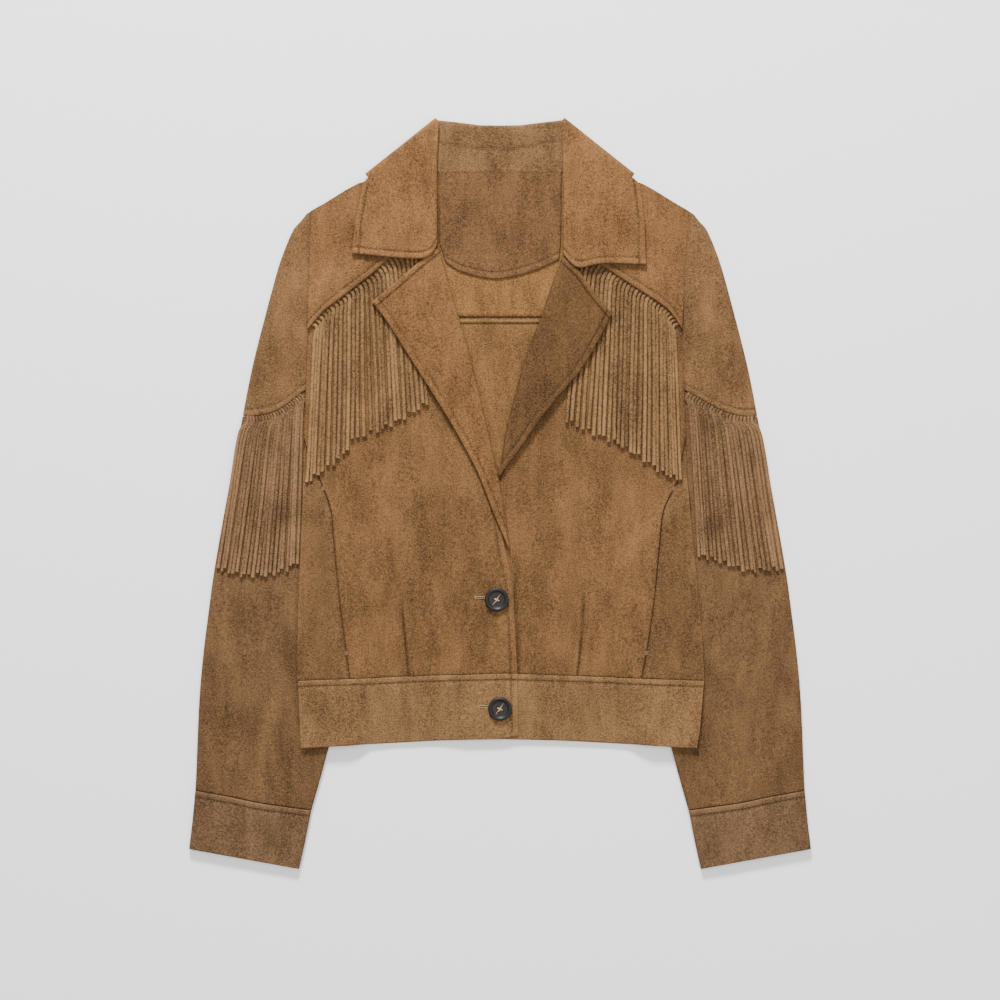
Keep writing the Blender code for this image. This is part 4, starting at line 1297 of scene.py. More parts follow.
@dataclass
class Collar:
    """The collar's fall from tip to tip round the back, and the stand inside the neck."""

    finish: Suede
    relief: Relief
    paths: list[list[Place]] = field(default_factory=list)
    TURNS = tuple(range(12, 180, 12))
    ROUND = 1.1
    FLAT_SHARE = 0.72
    NECK_BEND = Edge(60.0, 59.6)
    UNDER_BEND = Edge(73.0, 60.0)
    UNDER_ROWS = 15
    INNER_LIP = 3.0

    def half(self, side: Side) -> list[list[tuple[Place, Place, float]]]:
        """Rows of points for one half, from its lower edge over the fold to the middle of the back.

        Args:
            side: which half.

        Returns:
            Rows of outer point, inner point, and mark of wear and painted shading.
        """
        sign = side.value
        fold = edge_points(COLLAR_FOLD, sign)
        run = math.dist(fold[0], fold[-1])
        out = ((fold[0][1] - fold[-1][1]) / run * sign, -abs(fold[-1][0] - fold[0][0]) / run)
        level = Stack.leaf(side)
        top = level(*fold[1]) + DOUBLE
        radius = top / 2
        crease = [(x - out[0] * radius, down - out[1] * radius) for x, down in fold]
        outer = side_points(COLLAR_OUTER, side)
        lower = soft_points(edge_points(COLLAR_LOWER[side]))
        outer[0], outer[-1] = lower[0], crease[0]
        leaf = Patch(lower, crease, outer, [lower[-1], *edge_points([self.NECK_BEND], sign), crease[-1]])
        us = stations(leaf.cut(8)[0], True, False, PANEL_STEP)
        vs = stations(leaf.length(0.5), True, False, PANEL_STEP)
        rows = []
        for v in vs:
            row = []
            width = leaf.width(v)
            for u in us:
                length = leaf.length(u)
                spot = leaf.at(u, (0.2 + v * (length - 0.2)) / length)
                settle = ease_in((v - self.FLAT_SHARE) / (1 - self.FLAT_SHARE))
                high = level(*spot) * (1 - settle) + (top - DOUBLE) * settle
                first = edge_form(u * width, v * length, self.ROUND, True, True)
                second = edge_form(v * length, u * width, self.ROUND, True, True)
                shaped, inner = 1 - settle, (1 - u) * width
                bulge = self.relief.at(*spot) + 0.5 * bell(inner - 12.0, 8.0) * shaped
                lip = 1 - min(inner, self.INNER_LIP) / self.INNER_LIP
                roll = 2.0 * (1 - math.sqrt(1 - lip ** 2)) * shaped
                foot = Stack.back(*spot) + CLOTH + 0.9 + FACING
                low = foot if inner < self.INNER_LIP and v < 0.75 else high
                rise = max(-1.6, (first[0] + second[0] + bulge) * shaped)
                lift = 1.2 * bell(v * length, 11.0) + 0.8 * bell(u * width, 9.0)
                lift *= shaped * (1 - bell(inner, 9.0))
                # Rubbed edges and painted shade in the stitched grooves, made paler along the inner edge
                # and where the leaf rolls to the stand.
                rub = (first[1] + second[1]) * shaped + 0.2 * bell(inner, 4.0) + 0.15 * settle
                row.append((world(spot, high + DOUBLE + rise - roll + lift),
                            world(spot, low + lift), rub))
            rows.append(row)
        ends = [leaf.at(0, 1), leaf.at(1, 1)]
        shares = [math.dist(ends[0], leaf.at(u, 1)) / math.dist(*ends) for u in us]
        crease_line = Line(crease)
        for turn in self.TURNS:
            angle = math.radians(turn)
            row = []
            for share in shares:
                x, down = crease_line.at(share)
                places = []
                for reach in (radius, radius - DOUBLE):
                    off = reach * math.sin(angle)
                    spot = (x + out[0] * off, down + out[1] * off)
                    places.append(world(spot, radius + reach * math.cos(angle)))
                row.append((*places, 0.22 * math.sin(angle)))
            rows.append(row)
        below = FOLD_WALL + 0.8
        middle = [(0.0, COLLAR_BACK_DEPTH), (0.0, COLLAR_TOP[-1].down + below)]
        edge = [crease[-1]] + [(x, down + below) for x, down in edge_points(COLLAR_TOP, sign)[1:]]
        under = Patch([crease[0], *edge_points([self.UNDER_BEND], sign), middle[0]], edge, crease, middle)
        for j in range(self.UNDER_ROWS):
            spots = [under.at(j / (self.UNDER_ROWS - 1), share) for share in shares]
            rows.append([(world(spot, 0.0), world(spot, DOUBLE), 0.0) for spot in spots])
        self.seams(leaf, level)
        return rows

    def seams(self, leaf: Patch, level: Level) -> None:
        """Keep the stitching's path along a leaf's outer and lower edges.

        Args:
            leaf: the leaf's patch.
            level: its underside.
        """
        u_in, v_in = GROOVE / leaf.width(0.05), GROOVE / leaf.length(0.1)
        corners = [(u_in, self.FLAT_SHARE), (u_in, v_in), (0.97, v_in)]
        shares = [between(a, b, k / 40) for a, b in zip(corners, corners[1:]) for k in range(40)]
        spots = [leaf.at(u, v) for u, v in shares + corners[-1:]]
        self.paths.append([world(spot, level(*spot) + DOUBLE + 0.35) for spot in spots])

    def build(self, wardrobe: Wardrobe) -> None:
        """Make the fall and the stand.

        Args:
            wardrobe: what it is made with.
        """
        right, left = self.half(Side.RIGHT), self.half(Side.LEFT)
        rows = right + left[::-1][1:]
        cloth = Cloth("collar_fall")
        for row in rows:
            for outer, inner, rub in row:
                cloth.add(outer, inner, rub)
        cloth.grid(len(rows[0]), len(rows))
        for path in self.paths:
            wardrobe.thread.row(path)
        wardrobe.place(cloth, self.finish, FALL_CUT, "folded", ("yoke_right", "yoke_left", "back_yoke"))
        self.stand(wardrobe)

    @staticmethod
    def stand(wardrobe: Wardrobe) -> None:
        """Make the stand, with the curved row that holds the fall to it.

        Args:
            wardrobe: what it is made with.
        """
        top = edge_points(COLLAR_TOP, -1) + edge_points(COLLAR_TOP, 1)[-2::-1]
        top[0], top[-1] = (-62.4, 1.6), (62.4, 1.6)
        upper, seam = Line(top), Line([(-60.0, NECK_SEAM + 0.2), (60.0, NECK_SEAM + 0.2)])
        base = DOUBLE + 0.5
        cloth = Cloth("collar_stand")
        spots = [(0.0, 1.6, 0.8), (0.5, 0.8, 0.4), (1.2, 0.3, 0.3), (2.2, 0.05, 0.3), (FOLD_WALL, 0.0, 0.3)]
        spots += [(FOLD_WALL + 0.5 + 39.0 * k / 26, 0.0, None) for k in range(27)]
        relief = Relief(STAND_CREASES)
        for away, drop, foot in spots:
            for i in range(53):
                start, end = upper.at(i / 52), seam.at(i / 52)
                length = math.dist(start, end)
                share = min(1.0, away / length) if away < 42.0 else 1.0
                spot = between(start, end, share)
                rise = relief.at(*spot) * min(1.0, away / 6.0)
                step = 1.5 * ease_in((away - 24.0) / 18.0)
                # Painted shade in the stand's troughs, and paler along its top fold.
                rub = 0.3 * bell(away, 2.5) + 0.7 * min(0, rise)
                cloth.add(world(spot, base + CLOTH - drop + rise + step),
                          world(spot, (base if foot is None else foot) + step), rub)
        cloth.grid(53, len(spots))
        path = [world((x, 29.6 - (x / 56.0) ** 2 * (6.0 if x < 0 else 8.0)), base + CLOTH - 0.2)
                for x in range(-52, 53, 4)]
        wardrobe.thread.row(path)
        wardrobe.place(cloth, STAND, STAND_CUT, "folded", ("collar_fall", "back_yoke"))


class Across(NamedTuple):
    """A point of a strand's section: its share of the half width, its height, and its painted shading: dark
    at the sides where the gaps between strands fall, paler on the crown.
    """

    turn: float
    crown: float
    rub: float


STRAND_SECTION = (Across(-1, -0.5, -1.0), Across(-0.66, 0.0, -0.05), Across(0, 0.2, 0.3),
                  Across(0.66, 0.0, -0.05), Across(1, -0.5, -1.0))


@dataclass
class Fringe:
    """A cut strip sewn under a seam, with strands that leave it squarely and then hang down."""

    node: str
    seam: list[Plan]
    side: Side
    row: StrandRow
    level: Level
    finish: Suede
    rests_on: tuple[str, ...]
    armhole: bool
    line: Line = field(init=False)
    width: float = 3.8
    last_width: float = 3.2
    least_width: float = 2.7
    arm_gap: float = 2.2
    arm_pitch: float = 3.3
    STRIP_STEPS = 60
    STRIP = (-1.6, 0.6)

    def __post_init__(self) -> None:
        """Measure the seam."""
        self.line = Line(self.seam)

    def root(self, share: float, out: float) -> Plan:
        """A point at a share of the seam, moved squarely off it.

        Args:
            share: the share of the seam.
            out: how far off the seam.

        Returns:
            The point.
        """
        at, near = self.line.at(share), self.line.at(share + 0.01)
        run = math.dist(at, near) or 1.0
        facing = self.side.value
        off = facing * out
        return (at[0] + (near[1] - at[1]) / run * off, at[1] - (near[0] - at[0]) / run * off)

    def hang(self, share: float, strand: int) -> Plan:
        """Where a strand's end lies.

        Args:
            share: the share of the row.
            strand: the strand's number.

        Returns:
            The point.
        """
        across = column(self.row.ends, share, "across", "share")
        down = column(self.row.ends, share, "down", "share")
        across += 1.3 * (scatter(strand) - 0.5)
        return self.side.value * across, down + 2.4 * math.sin(2.3 * strand)

    def path(self, strand: int) -> list[Plan]:
        """The middle line of one strand, from its root to its end.

        Args:
            strand: the strand's number.

        Returns:
            The line's points.
        """
        pitch = (self.row.last - self.row.first) / self.row.strands
        share = self.row.first + pitch * (strand + 0.5)
        tip = self.hang((strand + 0.5) / self.row.strands, strand)
        base, bend = self.root(share, -0.6), self.root(share, 6.0)
        settle = (bend[0] * 0.72 + tip[0] * 0.28, bend[1] + 13.0)
        sway = 1.6 * (scatter(strand + 31) - 0.5)
        halfway = ((settle[0] + tip[0]) / 2 + sway, (settle[1] + tip[1]) / 2)
        points = soft_points([base, bend, settle, halfway, tip])
        if not self.armhole:
            return points
        kept = points[:1]
        for x, down in points[1:]:
            most = column(ARMHOLE, down, self.side.word) - self.arm_gap - self.arm_pitch * strand
            kept.append((max(-most, min(most, x)), down))
        return kept

    def build(self, wardrobe: Wardrobe) -> None:
        """Make the strip and every strand.

        Args:
            wardrobe: what it is made with.
        """
        cloth = Cloth(self.node)
        for out in self.STRIP:
            for k in range(self.STRIP_STEPS + 1):
                share = self.row.first + (self.row.last - self.row.first) * k / self.STRIP_STEPS
                spot = self.root(share, out)
                low = self.level(*spot)
                # The strip is painted in shade, as it lies under the seam's edge.
                cloth.add(world(spot, low + 0.4), world(spot, low - 0.4), -0.9)
        cloth.grid(self.STRIP_STEPS + 1, 2)
        for strand in range(self.row.strands):
            self.strand(cloth, strand)
        size = (self.row.strands * STRAND_PITCH, self.row.length)
        wardrobe.place(cloth, self.finish, size, "hung", self.rests_on)

    def strand(self, cloth: Cloth, strand: int) -> None:
        """Add one strand, a little twisted and lifted unlike its neighbours.

        Args:
            cloth: the shell that it is added to.
            strand: the strand's number.
        """
        points = self.path(strand)
        tint = 0.42 * (scatter(strand + 7) - 0.5)
        tilt = 0.34 * (scatter(strand + 19) - 0.5)
        wide = self.last_width
        if strand < self.row.strands - 1:
            tips = [self.hang((k + 0.5) / self.row.strands, k)[0] for k in (strand, strand + 1)]
            wide = min(self.width, max(self.least_width, 0.92 * abs(tips[1] - tips[0])))
        rooted = 0.96 * self.line.length * (self.row.last - self.row.first) / self.row.strands
        lift = 0.5 * scatter(strand + 53)
        first = len(cloth.outside)
        for k, (x, down) in enumerate(points):
            before, after = points[max(0, k - 1)], points[min(len(points) - 1, k + 1)]
            run = math.dist(before, after) or 1.0
            side = ((after[1] - before[1]) / run, -(after[0] - before[0]) / run)
            share = k / (len(points) - 1)
            twist = tilt * math.sin(2.6 * share + strand)
            raised = lift * ease_in(share * 3) * (0.6 + 0.4 * math.sin(4.0 * share + strand))
            spread = ease_in(share * 1.6)
            half = (min(wide, rooted) * (1 - spread) + wide * spread) / 2
            for point in STRAND_SECTION:
                spot = (x + side[0] * half * point.turn, down + side[1] * half * point.turn)
                low = self.level(*spot) + raised + twist * point.turn
                low -= 0.45 * (1 - ease_in(share * 9))
                low += 1.3 * ease_in((share - 0.9) * 10)
                # Painted shade at the sides and near the root under the seam; paler at the very tip.
                rub = point.rub - 0.35 * (1 - ease_in(share * 8)) + 0.5 * bell((1 - share) * 100, 1.5)
                cloth.add(world(spot, low + STRAND_THICK + point.crown), world(spot, low), rub, tint)
        cloth.grid(len(STRAND_SECTION), len(points), first=first)


@dataclass
class Button:
    """A turned button with a raised rim, four holes and its thread."""

    node: str
    down: float
    across: float
    horn: bpy.types.Material
    radius: float = 11.2
    thick: float = 3.4
    hole: float = 1.05
    pitch: float = 4.2
    turned: float = 20.0
    STEPS = 72

    def build(self, wardrobe: Wardrobe, thread: Thread) -> None:
        """Turn the button, bore it and sew it on.

        Args:
            wardrobe: what it is made with.
            thread: what it is sewn with.
        """
        seat = Stack.lapped(self.across, self.down) + CLOTH + 0.35
        rim, radius, thick = self.radius - 2.6, self.radius, self.thick
        profile = ((0.01, thick - 1.35), (rim - 2.2, thick - 1.3), (rim - 1.0, thick - 1.05),
                   (rim - 0.2, thick - 0.35), (rim + 0.5, thick - 0.05), (rim + 1.2, thick),
                   (radius - 0.6, thick - 0.25), (radius - 0.15, thick - 0.8), (radius, thick - 1.4),
                   (radius - 0.8, 0.5), (radius - 2.6, 0.0), (0.01, 0.0))
        points, faces = [], []
        for n in range(self.STEPS):
            angle = math.tau * n / self.STEPS
            for reach, up in profile:
                x, y, z = world((self.across, self.down), seat + up)
                points.append((x + reach * math.cos(angle) * MM, y + reach * math.sin(angle) * MM, z))
        size = len(profile)
        for n in range(self.STEPS):
            a, b = n * size, (n + 1) % self.STEPS * size
            faces += [(a + k, b + k, b + k + 1, a + k + 1) for k in range(size - 1)]
        ring = [n * size for n in range(self.STEPS)]
        faces += [tuple(ring), tuple(n + size - 1 for n in reversed(ring))]
        piece = plain_piece("disc_" + self.node, points, faces, self.horn)
        self.bore(piece, seat)
        piece.data.set_sharp_from_angle(angle=math.radians(35))
        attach(piece, "root")
        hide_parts(self.node)
        self.sew_on(thread, seat)
        wardrobe.made.append(piece)

    def holes(self) -> list[Plan]:
        """The four holes' middles, from the button's own middle.

        Returns:
            The middles, in order round the button.
        """
        reach = self.pitch / math.sqrt(2)
        angles = [math.radians(45 + 90 * k + self.turned) for k in range(4)]
        return [(reach * math.cos(angle), reach * math.sin(angle)) for angle in angles]

    def bore(self, piece: bpy.types.Object, seat: float) -> None:
        """Cut the four holes through the disc.

        Args:
            piece: the disc.
            seat: the height of its underside in millimetres.
        """
        shape = bmesh.new()
        for x, y in self.holes():
            made = bmesh.ops.create_cone(shape, cap_ends=True, segments=20, radius1=self.hole * MM,
                                         radius2=self.hole * MM, depth=0.02)
            place = world((self.across + x, self.down - y), seat)
            bmesh.ops.translate(shape, verts=made["verts"], vec=place)
        mesh = bpy.data.meshes.new("bit")
        shape.to_mesh(mesh)
        shape.free()
        bit = put("bit", mesh)
        cut = piece.modifiers.new("holes", "BOOLEAN")
        cut.operation = "DIFFERENCE"
        cut.object = bit
        cut.solver = "EXACT"
        bored = bpy.data.meshes.new_from_object(piece.evaluated_get(bpy.context.evaluated_depsgraph_get()))
        piece.modifiers.clear()
        piece.data = bored
        bpy.data.objects.remove(bit)

    def sew_on(self, thread: Thread, seat: float) -> None:
        """Cross the thread between the holes, and lay a pale streak across the button, a painted highlight
        where light glints on the horn.

        Args:
            thread: the thread it is sewn with.
            seat: the height of the button's underside in millimetres.
        """
        places = [world((self.across + x, self.down - y), seat + self.thick - 1.35)
                  for x, y in self.holes()]
        for a, b, up in ((0, 2, 0.0), (1, 3, 0.25)):
            for shift in (-0.22, 0.22):
                move = (shift * MM, shift * MM, up * MM)
                ends = [tuple(map(sum, zip(places[n], move))) for n in (a, b)]
                thread.stitch(*ends, 0.32, 0.7)
        # Painted highlight: a pale streak across the button for light glinting on the horn.
        streak = [world((self.across + x, self.down - y), seat + self.thick - 1.22)
                  for x, y in ((-4.3, -5.6), (3.4, 5.4))]
        thread.stitch(*streak, 0.2, 0.12)


FRONT = Suede("front suede", (0.116, 0.059, 0.024))
SIDE_FRONT = Suede("side front suede", (0.104, 0.054, 0.023))
YOKE = Suede("yoke suede", (0.133, 0.065, 0.026))
SLEEVE = Suede("sleeve suede", (0.101, 0.054, 0.024))
COLLAR = Suede("collar suede", (0.137, 0.066, 0.026))
LAPEL_RIGHT = Suede("right lapel suede", (0.131, 0.064, 0.025))
LAPEL_LEFT = Suede("left lapel suede", (0.076, 0.039, 0.016))
STAND = Suede("stand suede", (0.116, 0.061, 0.027))
BAND = Suede("waistband suede", (0.142, 0.076, 0.033))
CAP = Suede("cap suede", (0.121, 0.063, 0.027))
CUFF = Suede("cuff suede", (0.107, 0.060, 0.030))
CHEST_STRANDS = Suede("chest strand suede", (0.145, 0.078, 0.034))
SLEEVE_STRANDS = Suede("sleeve strand suede", (0.127, 0.070, 0.033))
LINING_YOKE = Suede("inside yoke suede", (0.152, 0.075, 0.027), "suede_inside")
LINING_BODY = Suede("inside body suede", (0.131, 0.067, 0.026), "suede_inside")
NECK_FACING = Suede("neck facing suede", (0.105, 0.053, 0.023), "suede_facing")
FINISHES = (FRONT, SIDE_FRONT, YOKE, SLEEVE, CAP, COLLAR, LAPEL_RIGHT, LAPEL_LEFT, STAND, BAND, CUFF,
            CHEST_STRANDS, SLEEVE_STRANDS, LINING_YOKE, LINING_BODY, NECK_FACING)


@dataclass(frozen=True)
class Smooth:
    """A plain finish: horn, thread or the floor."""

    name: str
    colour: tuple[float, float, float]
    roughness: float
    speckle: float = 0.0
    gloss: float = 0.5

    def material(self) -> bpy.types.Material:
        """Make the finish's material, with fine mottling where it has any.

        Returns:
            The material.
        """
        material = bpy.data.materials.new(self.name)
        material.use_nodes = True
        nodes, links = material.node_tree.nodes, material.node_tree.links
        shader = fill(nodes["Principled BSDF"],
                      {"Base Color": (*self.colour, 1.0), "Roughness": self.roughness,
                       "Specular IOR Level": self.gloss})
        if self.speckle:
            place = nodes.new("ShaderNodeTexCoord")
            noise = add_node(nodes, "TexNoise", {"Scale": 420.0, "Detail": 4.0})
            links.new(place.outputs["Object"], noise.inputs["Vector"])
            least = self.roughness - self.speckle / 2
            rough = math_node(nodes, "MULTIPLY_ADD", (noise.outputs["Fac"], self.speckle, least), links)
            links.new(rough, shader.inputs["Roughness"])
            bump = add_node(nodes, "Bump", {"Strength": 0.25, "Distance": 0.0002})
            links.new(noise.outputs["Fac"], bump.inputs["Height"])
            links.new(bump.outputs["Normal"], shader.inputs["Normal"])
        return material


@dataclass
class Body:
    """Back, fronts, yokes, waistbands and lapels."""

    relief: Relief = field(default_factory=lambda: Relief(BODY_CREASES))
    band_relief: Relief = field(default_factory=lambda: Relief(BAND_CREASES))

    def build(self, wardrobe: Wardrobe) -> None:
        """Make the body from the back up.

        Args:
            wardrobe: what it is made with.
        """
        self.back(wardrobe)
        for side in Side:
            self.front(side, wardrobe)
            self.lapel(side, wardrobe)

    @staticmethod
    def back_ridge(x: float, down: float) -> tuple[float, float]:
        """The groove and ridge where the back yoke is sewn on, with painted shade in the groove and painted
        highlight on the ridge.

        Args:
            x: how far from the centre line.
            down: how far down from the collar's top.

        Returns:
            The rise, and the painted shading.
        """
        away = down - BACK_YOKE_SEAM
        rise = 0.8 * bell(away - 3.2, 1.8) - 0.9 * bell(away, 1.3) + 0.3 * bell(away + 3.0, 2.0)
        return rise, 0.6 * bell(away - 3.2, 1.5) - 1.5 * bell(away, 1.6)

    def back(self, wardrobe: Wardrobe) -> None:
        """Back yoke, back body, back waistband and the facing inside the neck.

        Args:
            wardrobe: what it is made with.
        """
        arms, shoulder, yoke_sides, seam, lower = [], [], [], [], []
        for side in Side:
            sign = side.value
            shoulder.append(side_points(SHOULDER, side)
                            + edge_points((SHOULDER_POINT, Edge(NECK_SEAM, BACK_NECK_HALF)), sign))
            arms.append(side_points(ARMHOLE, side))
            seam.append((sign * column(ARMHOLE, BACK_YOKE_SEAM, side.word), BACK_YOKE_SEAM))
            yoke_sides.append(([p for p in arms[-1] if p[1] < BACK_YOKE_SEAM] + [seam[-1]])[::-1])
            lower.append([seam[-1]] + [p for p in arms[-1] if p[1] > BACK_YOKE_SEAM]
                         + side_points(SIDE_EDGE, side)[1:])
        top = shoulder[0] + shoulder[1][::-1]
        Panel("back_yoke", Patch(seam, top, *yoke_sides), Stack.back, CLOTH, LINING_YOKE, ("sleeve_right",),
              self.relief, (-0.4, -0.4, -0.3, 0.2), ridge=self.back_ridge).build(wardrobe)
        hem = [lower[0][-1], (0.0, 532.0), lower[1][-1]]
        Panel("back_body", Patch(hem, seam, lower[0][::-1], lower[1][::-1]), Stack.back, CLOTH, LINING_BODY,
              ("sleeve_right", "sleeve_left"), self.relief, (-0.4, -0.4, -0.2, -0.3),
              sewn=(False, False, False, True), ridge=self.back_ridge).build(wardrobe)
        band = [side_points(BAND_SIDE, side)[::-1] for side in Side]
        band_hem = [band[0][0], (-60.0, 592.0), (0.0, 590.5), (60.0, 592.0), band[1][0]]
        Panel("band_back", Patch(band_hem, hem, *band), Stack.back, CLOTH, BAND, ("sleeve_right",),
              self.band_relief, turned=(True, True, True, False)).build(wardrobe)
        edge = soft_points(edge_points(FACING_EDGE))
        neck = [(side.value * NECK_HALF, NECK_SEAM) for side in Side]
        sides = [[end, (side.value * (NECK_HALF - 0.6), 118.0), corner]
                 for end, side, corner in zip((edge[0], edge[-1]), Side, neck)]
        Panel("neck_facing", Patch(edge, neck, *sides), lambda x, down: Stack.back(x, down) + CLOTH + 0.45,
              FACING, NECK_FACING, ("back_yoke",), self.relief, turned=(False, False, True, False),
              sewn=(False, False, True, False), step=3.6).build(wardrobe)

    @staticmethod
    def lap_shade(x: float, down: float) -> tuple[float, float]:
        """Painted shade on the left front along the line where the other front's edge lies on it."""
        edge = column(FRONT_EDGE[Side.RIGHT], down) + 1.2
        return 0.0, -1.3 * bell(x - edge, 2.4) * ease_in((down - 400.0) / 40.0)

    @staticmethod
    def front_inner(side: Side) -> list[Plan]:
        """The inner edge of a front, set back from the lapel's fold, then down the front edge.

        Args:
            side: which side.

        Returns:
            The edge's points.
        """
        sign = side.value
        setback = FOLD_WALL + FRONT_SETBACK
        turned = [(sign * FRONT_TOP.across, FRONT_TOP.down)]
        turned += [(row.across + sign * setback, row.down) for row in ROLL[side]]
        return soft_points(turned) + edge_points(FRONT_EDGE[side])

    @staticmethod
    def waist(side: Side) -> list[Plan]:
        """The seam between a front and its waistband, from the side to the middle."""
        first = (side.value * getattr(BAND_SIDE[0], side.word), BAND_SIDE[0].down)
        return [first] + edge_points(BAND_SEAM, side.value)[1:]

    def front(self, side: Side, wardrobe: Wardrobe) -> None:
        """Centre front, side front, front yoke and waistband of one side.

        Args:
            side: which side.
            wardrobe: what it is made with.
        """
        sign, name, level = side.value, side.word, Stack.of_front(side)
        pocket = side_points(POCKET_SEAM, side)
        arm = [(x + sign * 0.6, down) for x, down in side_points(ARMHOLE, side)
               if YOKE_SEAM[0].down < down < FRONT_ARM_END]
        seam = soft_points(side_points(YOKE_SEAM, side))
        tucked = [(x, down - TUCK) for x, down in seam]
        waist = self.waist(side)
        pocket[-1] = (pocket[-1][0], down_at(waist, pocket[-1][0]))
        outer = ([tucked[0], seam[0]] + arm + soft_points(pocket))[::-1]
        inner = self.front_inner(side)[::-1]
        low = [pocket[-1]] + [p for p in waist if abs(p[0]) < abs(pocket[-1][0])] + [inner[0]]
        Panel("front_" + name, Patch(low, tucked[:-1] + [inner[-1]], outer, inner), level, CLOTH, FRONT,
              ("back_body", "back_yoke"), self.relief, (0.15, 0.0, -0.2, 0.0), (False, True, False, False),
              (False, side is Side.RIGHT, False, False), dart=DARTS[side],
              ridge=self.lap_shade if side is Side.LEFT else None).build(wardrobe)
        hem = [p for p in waist if abs(p[0]) > abs(pocket[-1][0])] + [pocket[-1]]
        edge = [(sign * column(ARMHOLE, SIDE_FRONT_TOP, name), SIDE_FRONT_TOP)]
        edge += [p for p in side_points(ARMHOLE, side) if p[1] > 330.0] + side_points(SIDE_EDGE, side)[1:]
        hem[0] = edge[-1]
        inside = soft_points(pocket)
        inside[0] = (edge[0][0] - sign * 2.2, SIDE_FRONT_TOP)
        Panel("side_" + name, Patch(hem, [edge[0], inside[0]], edge[::-1], inside[::-1]), level, CLOTH,
              SIDE_FRONT, ("back_body",), self.relief, (-0.4, 0.25, -0.2, 0.0),
              (True, False, False, False)).build(wardrobe)
        shoulder = side_points(SHOULDER, side)
        shoulder += edge_points((SHOULDER_POINT, Edge(NECK_SEAM + 2, FRONT_NECK_HALF)), sign)
        arm_top = [p for p in side_points(ARMHOLE, side) if p[1] < 202.0][::-1]
        Panel("yoke_" + name, Patch(seam, shoulder, arm_top, [seam[-1], shoulder[-1]]), Stack.yoke(side),
              CLOTH, YOKE, ("front_" + name, "fringe_chest_" + name), self.relief, (-0.4, 0.0, 0.0, 0.0),
              (False, False, True, False), (False, False, True, False)).build(wardrobe)
        self.band(side, waist, wardrobe)

    def band(self, side: Side, waist: list[Plan], wardrobe: Wardrobe) -> None:
        """One front waistband, lapped as its front is.

        Args:
            side: which side.
            waist: the seam above the waistband.
            wardrobe: what it is made with.
        """
        sign, right = side.value, side is Side.RIGHT
        end = BAND_END if right else -UNDERLAP
        hem = edge_points(HEM, sign)
        hem[0] = (sign * getattr(BAND_SIDE[-1], side.word), BAND_SIDE[-1].down)
        hem.append((end + (0.8 if right else 0.0), HEM[-1].down - (3.6 if right else 0.0)))
        waist = waist + [(end, waist[-1][1])]
        edge = side_points(BAND_SIDE, side)[::-1]
        Panel("band_" + side.word, Patch(hem, waist, edge, [hem[-1], waist[-1]]), Stack.of_front(side),
              CLOTH, BAND, ("band_back",), self.band_relief, turned=(True, True, True, False),
              sewn=(False, right, False, True)).build(wardrobe)

    def lapel(self, side: Side, wardrobe: Wardrobe) -> None:
        """The turned back upper front of one side.

        Args:
            side: which side.
            wardrobe: what it is made with.
        """
        free = soft_points(edge_points(LAPEL_EDGE[side]))
        fold = soft_points(edge_points(ROLL[side]))[::-1]
        notch = edge_points(NOTCH[side])
        finish = LAPEL_RIGHT if side is Side.RIGHT else LAPEL_LEFT
        Lapel("lapel_" + side.word, Patch([free[0], fold[0]], notch, free, fold), Stack.lapel(side), DOUBLE,
              finish, ("front_" + side.word, "fringe_chest_" + side.word), self.relief,
              (0.0, 0.0, 0.0, 0.2), (True, False, False, True), (True, False, False, True),
              foot=Stack.of_front(side)).build(wardrobe)


@dataclass
class Sleeve:
    """One sleeve: the tube, its cap over the shoulder and its cuff."""

    side: Side
    relief: Relief = field(default_factory=lambda: Relief(SLEEVE_CREASES, True))

    def build(self, wardrobe: Wardrobe) -> None:
        """Make the sleeve from the surface up.

        Args:
            wardrobe: what it is made with.
        """
        side, sign, name = self.side, self.side.value, self.side.word
        outer = soft_points(edge_points(SLEEVE_OUTER, sign))
        inner = soft_points(side_points(SLEEVE_INNER, side))
        cuff = soft_points(edge_points(CUFF_SEAM, sign))
        seam = soft_points(side_points(CAP_SEAM, side))
        seam[-1] = inner[0]
        Tube("sleeve_" + name, Patch(cuff, seam, outer[::-1], inner[::-1]), SLEEVE_HEIGHT, CLOTH, True,
             SLEEVE, ("cap_" + name,), self.relief, (0.2, 0.2)).build(wardrobe)
        arm = [p for p in side_points(ARMHOLE, side) if p[1] < 245.0]
        arm = [(x - sign * 0.3, down) for x, down in arm] + [inner[0]]
        top = soft_points(edge_points(CAP_OUTER, sign))
        Tube("cap_" + name, Patch(seam, [top[0], arm[0]], top[::-1], arm[::-1]), SLEEVE_HEIGHT, CLOTH,
             False, CAP, ("sleeve_" + name,), self.relief, (0.5, 0.2), (True, False), (True, False),
             runs=14, lift=0.9).build(wardrobe)
        hem = edge_points(CUFF_HEM, sign)
        sides = [soft_points(edge_points(rows, sign))[::-1] for rows in (CUFF_OUTER, CUFF_INNER)]
        Tube("cuff_" + name, Patch(hem, cuff, *sides), CUFF_HEIGHT, CUFF_WALL, True, CUFF,
             ("sleeve_" + name,), self.relief, (0.0, 0.2), (True, True), (False, True)).build(wardrobe)


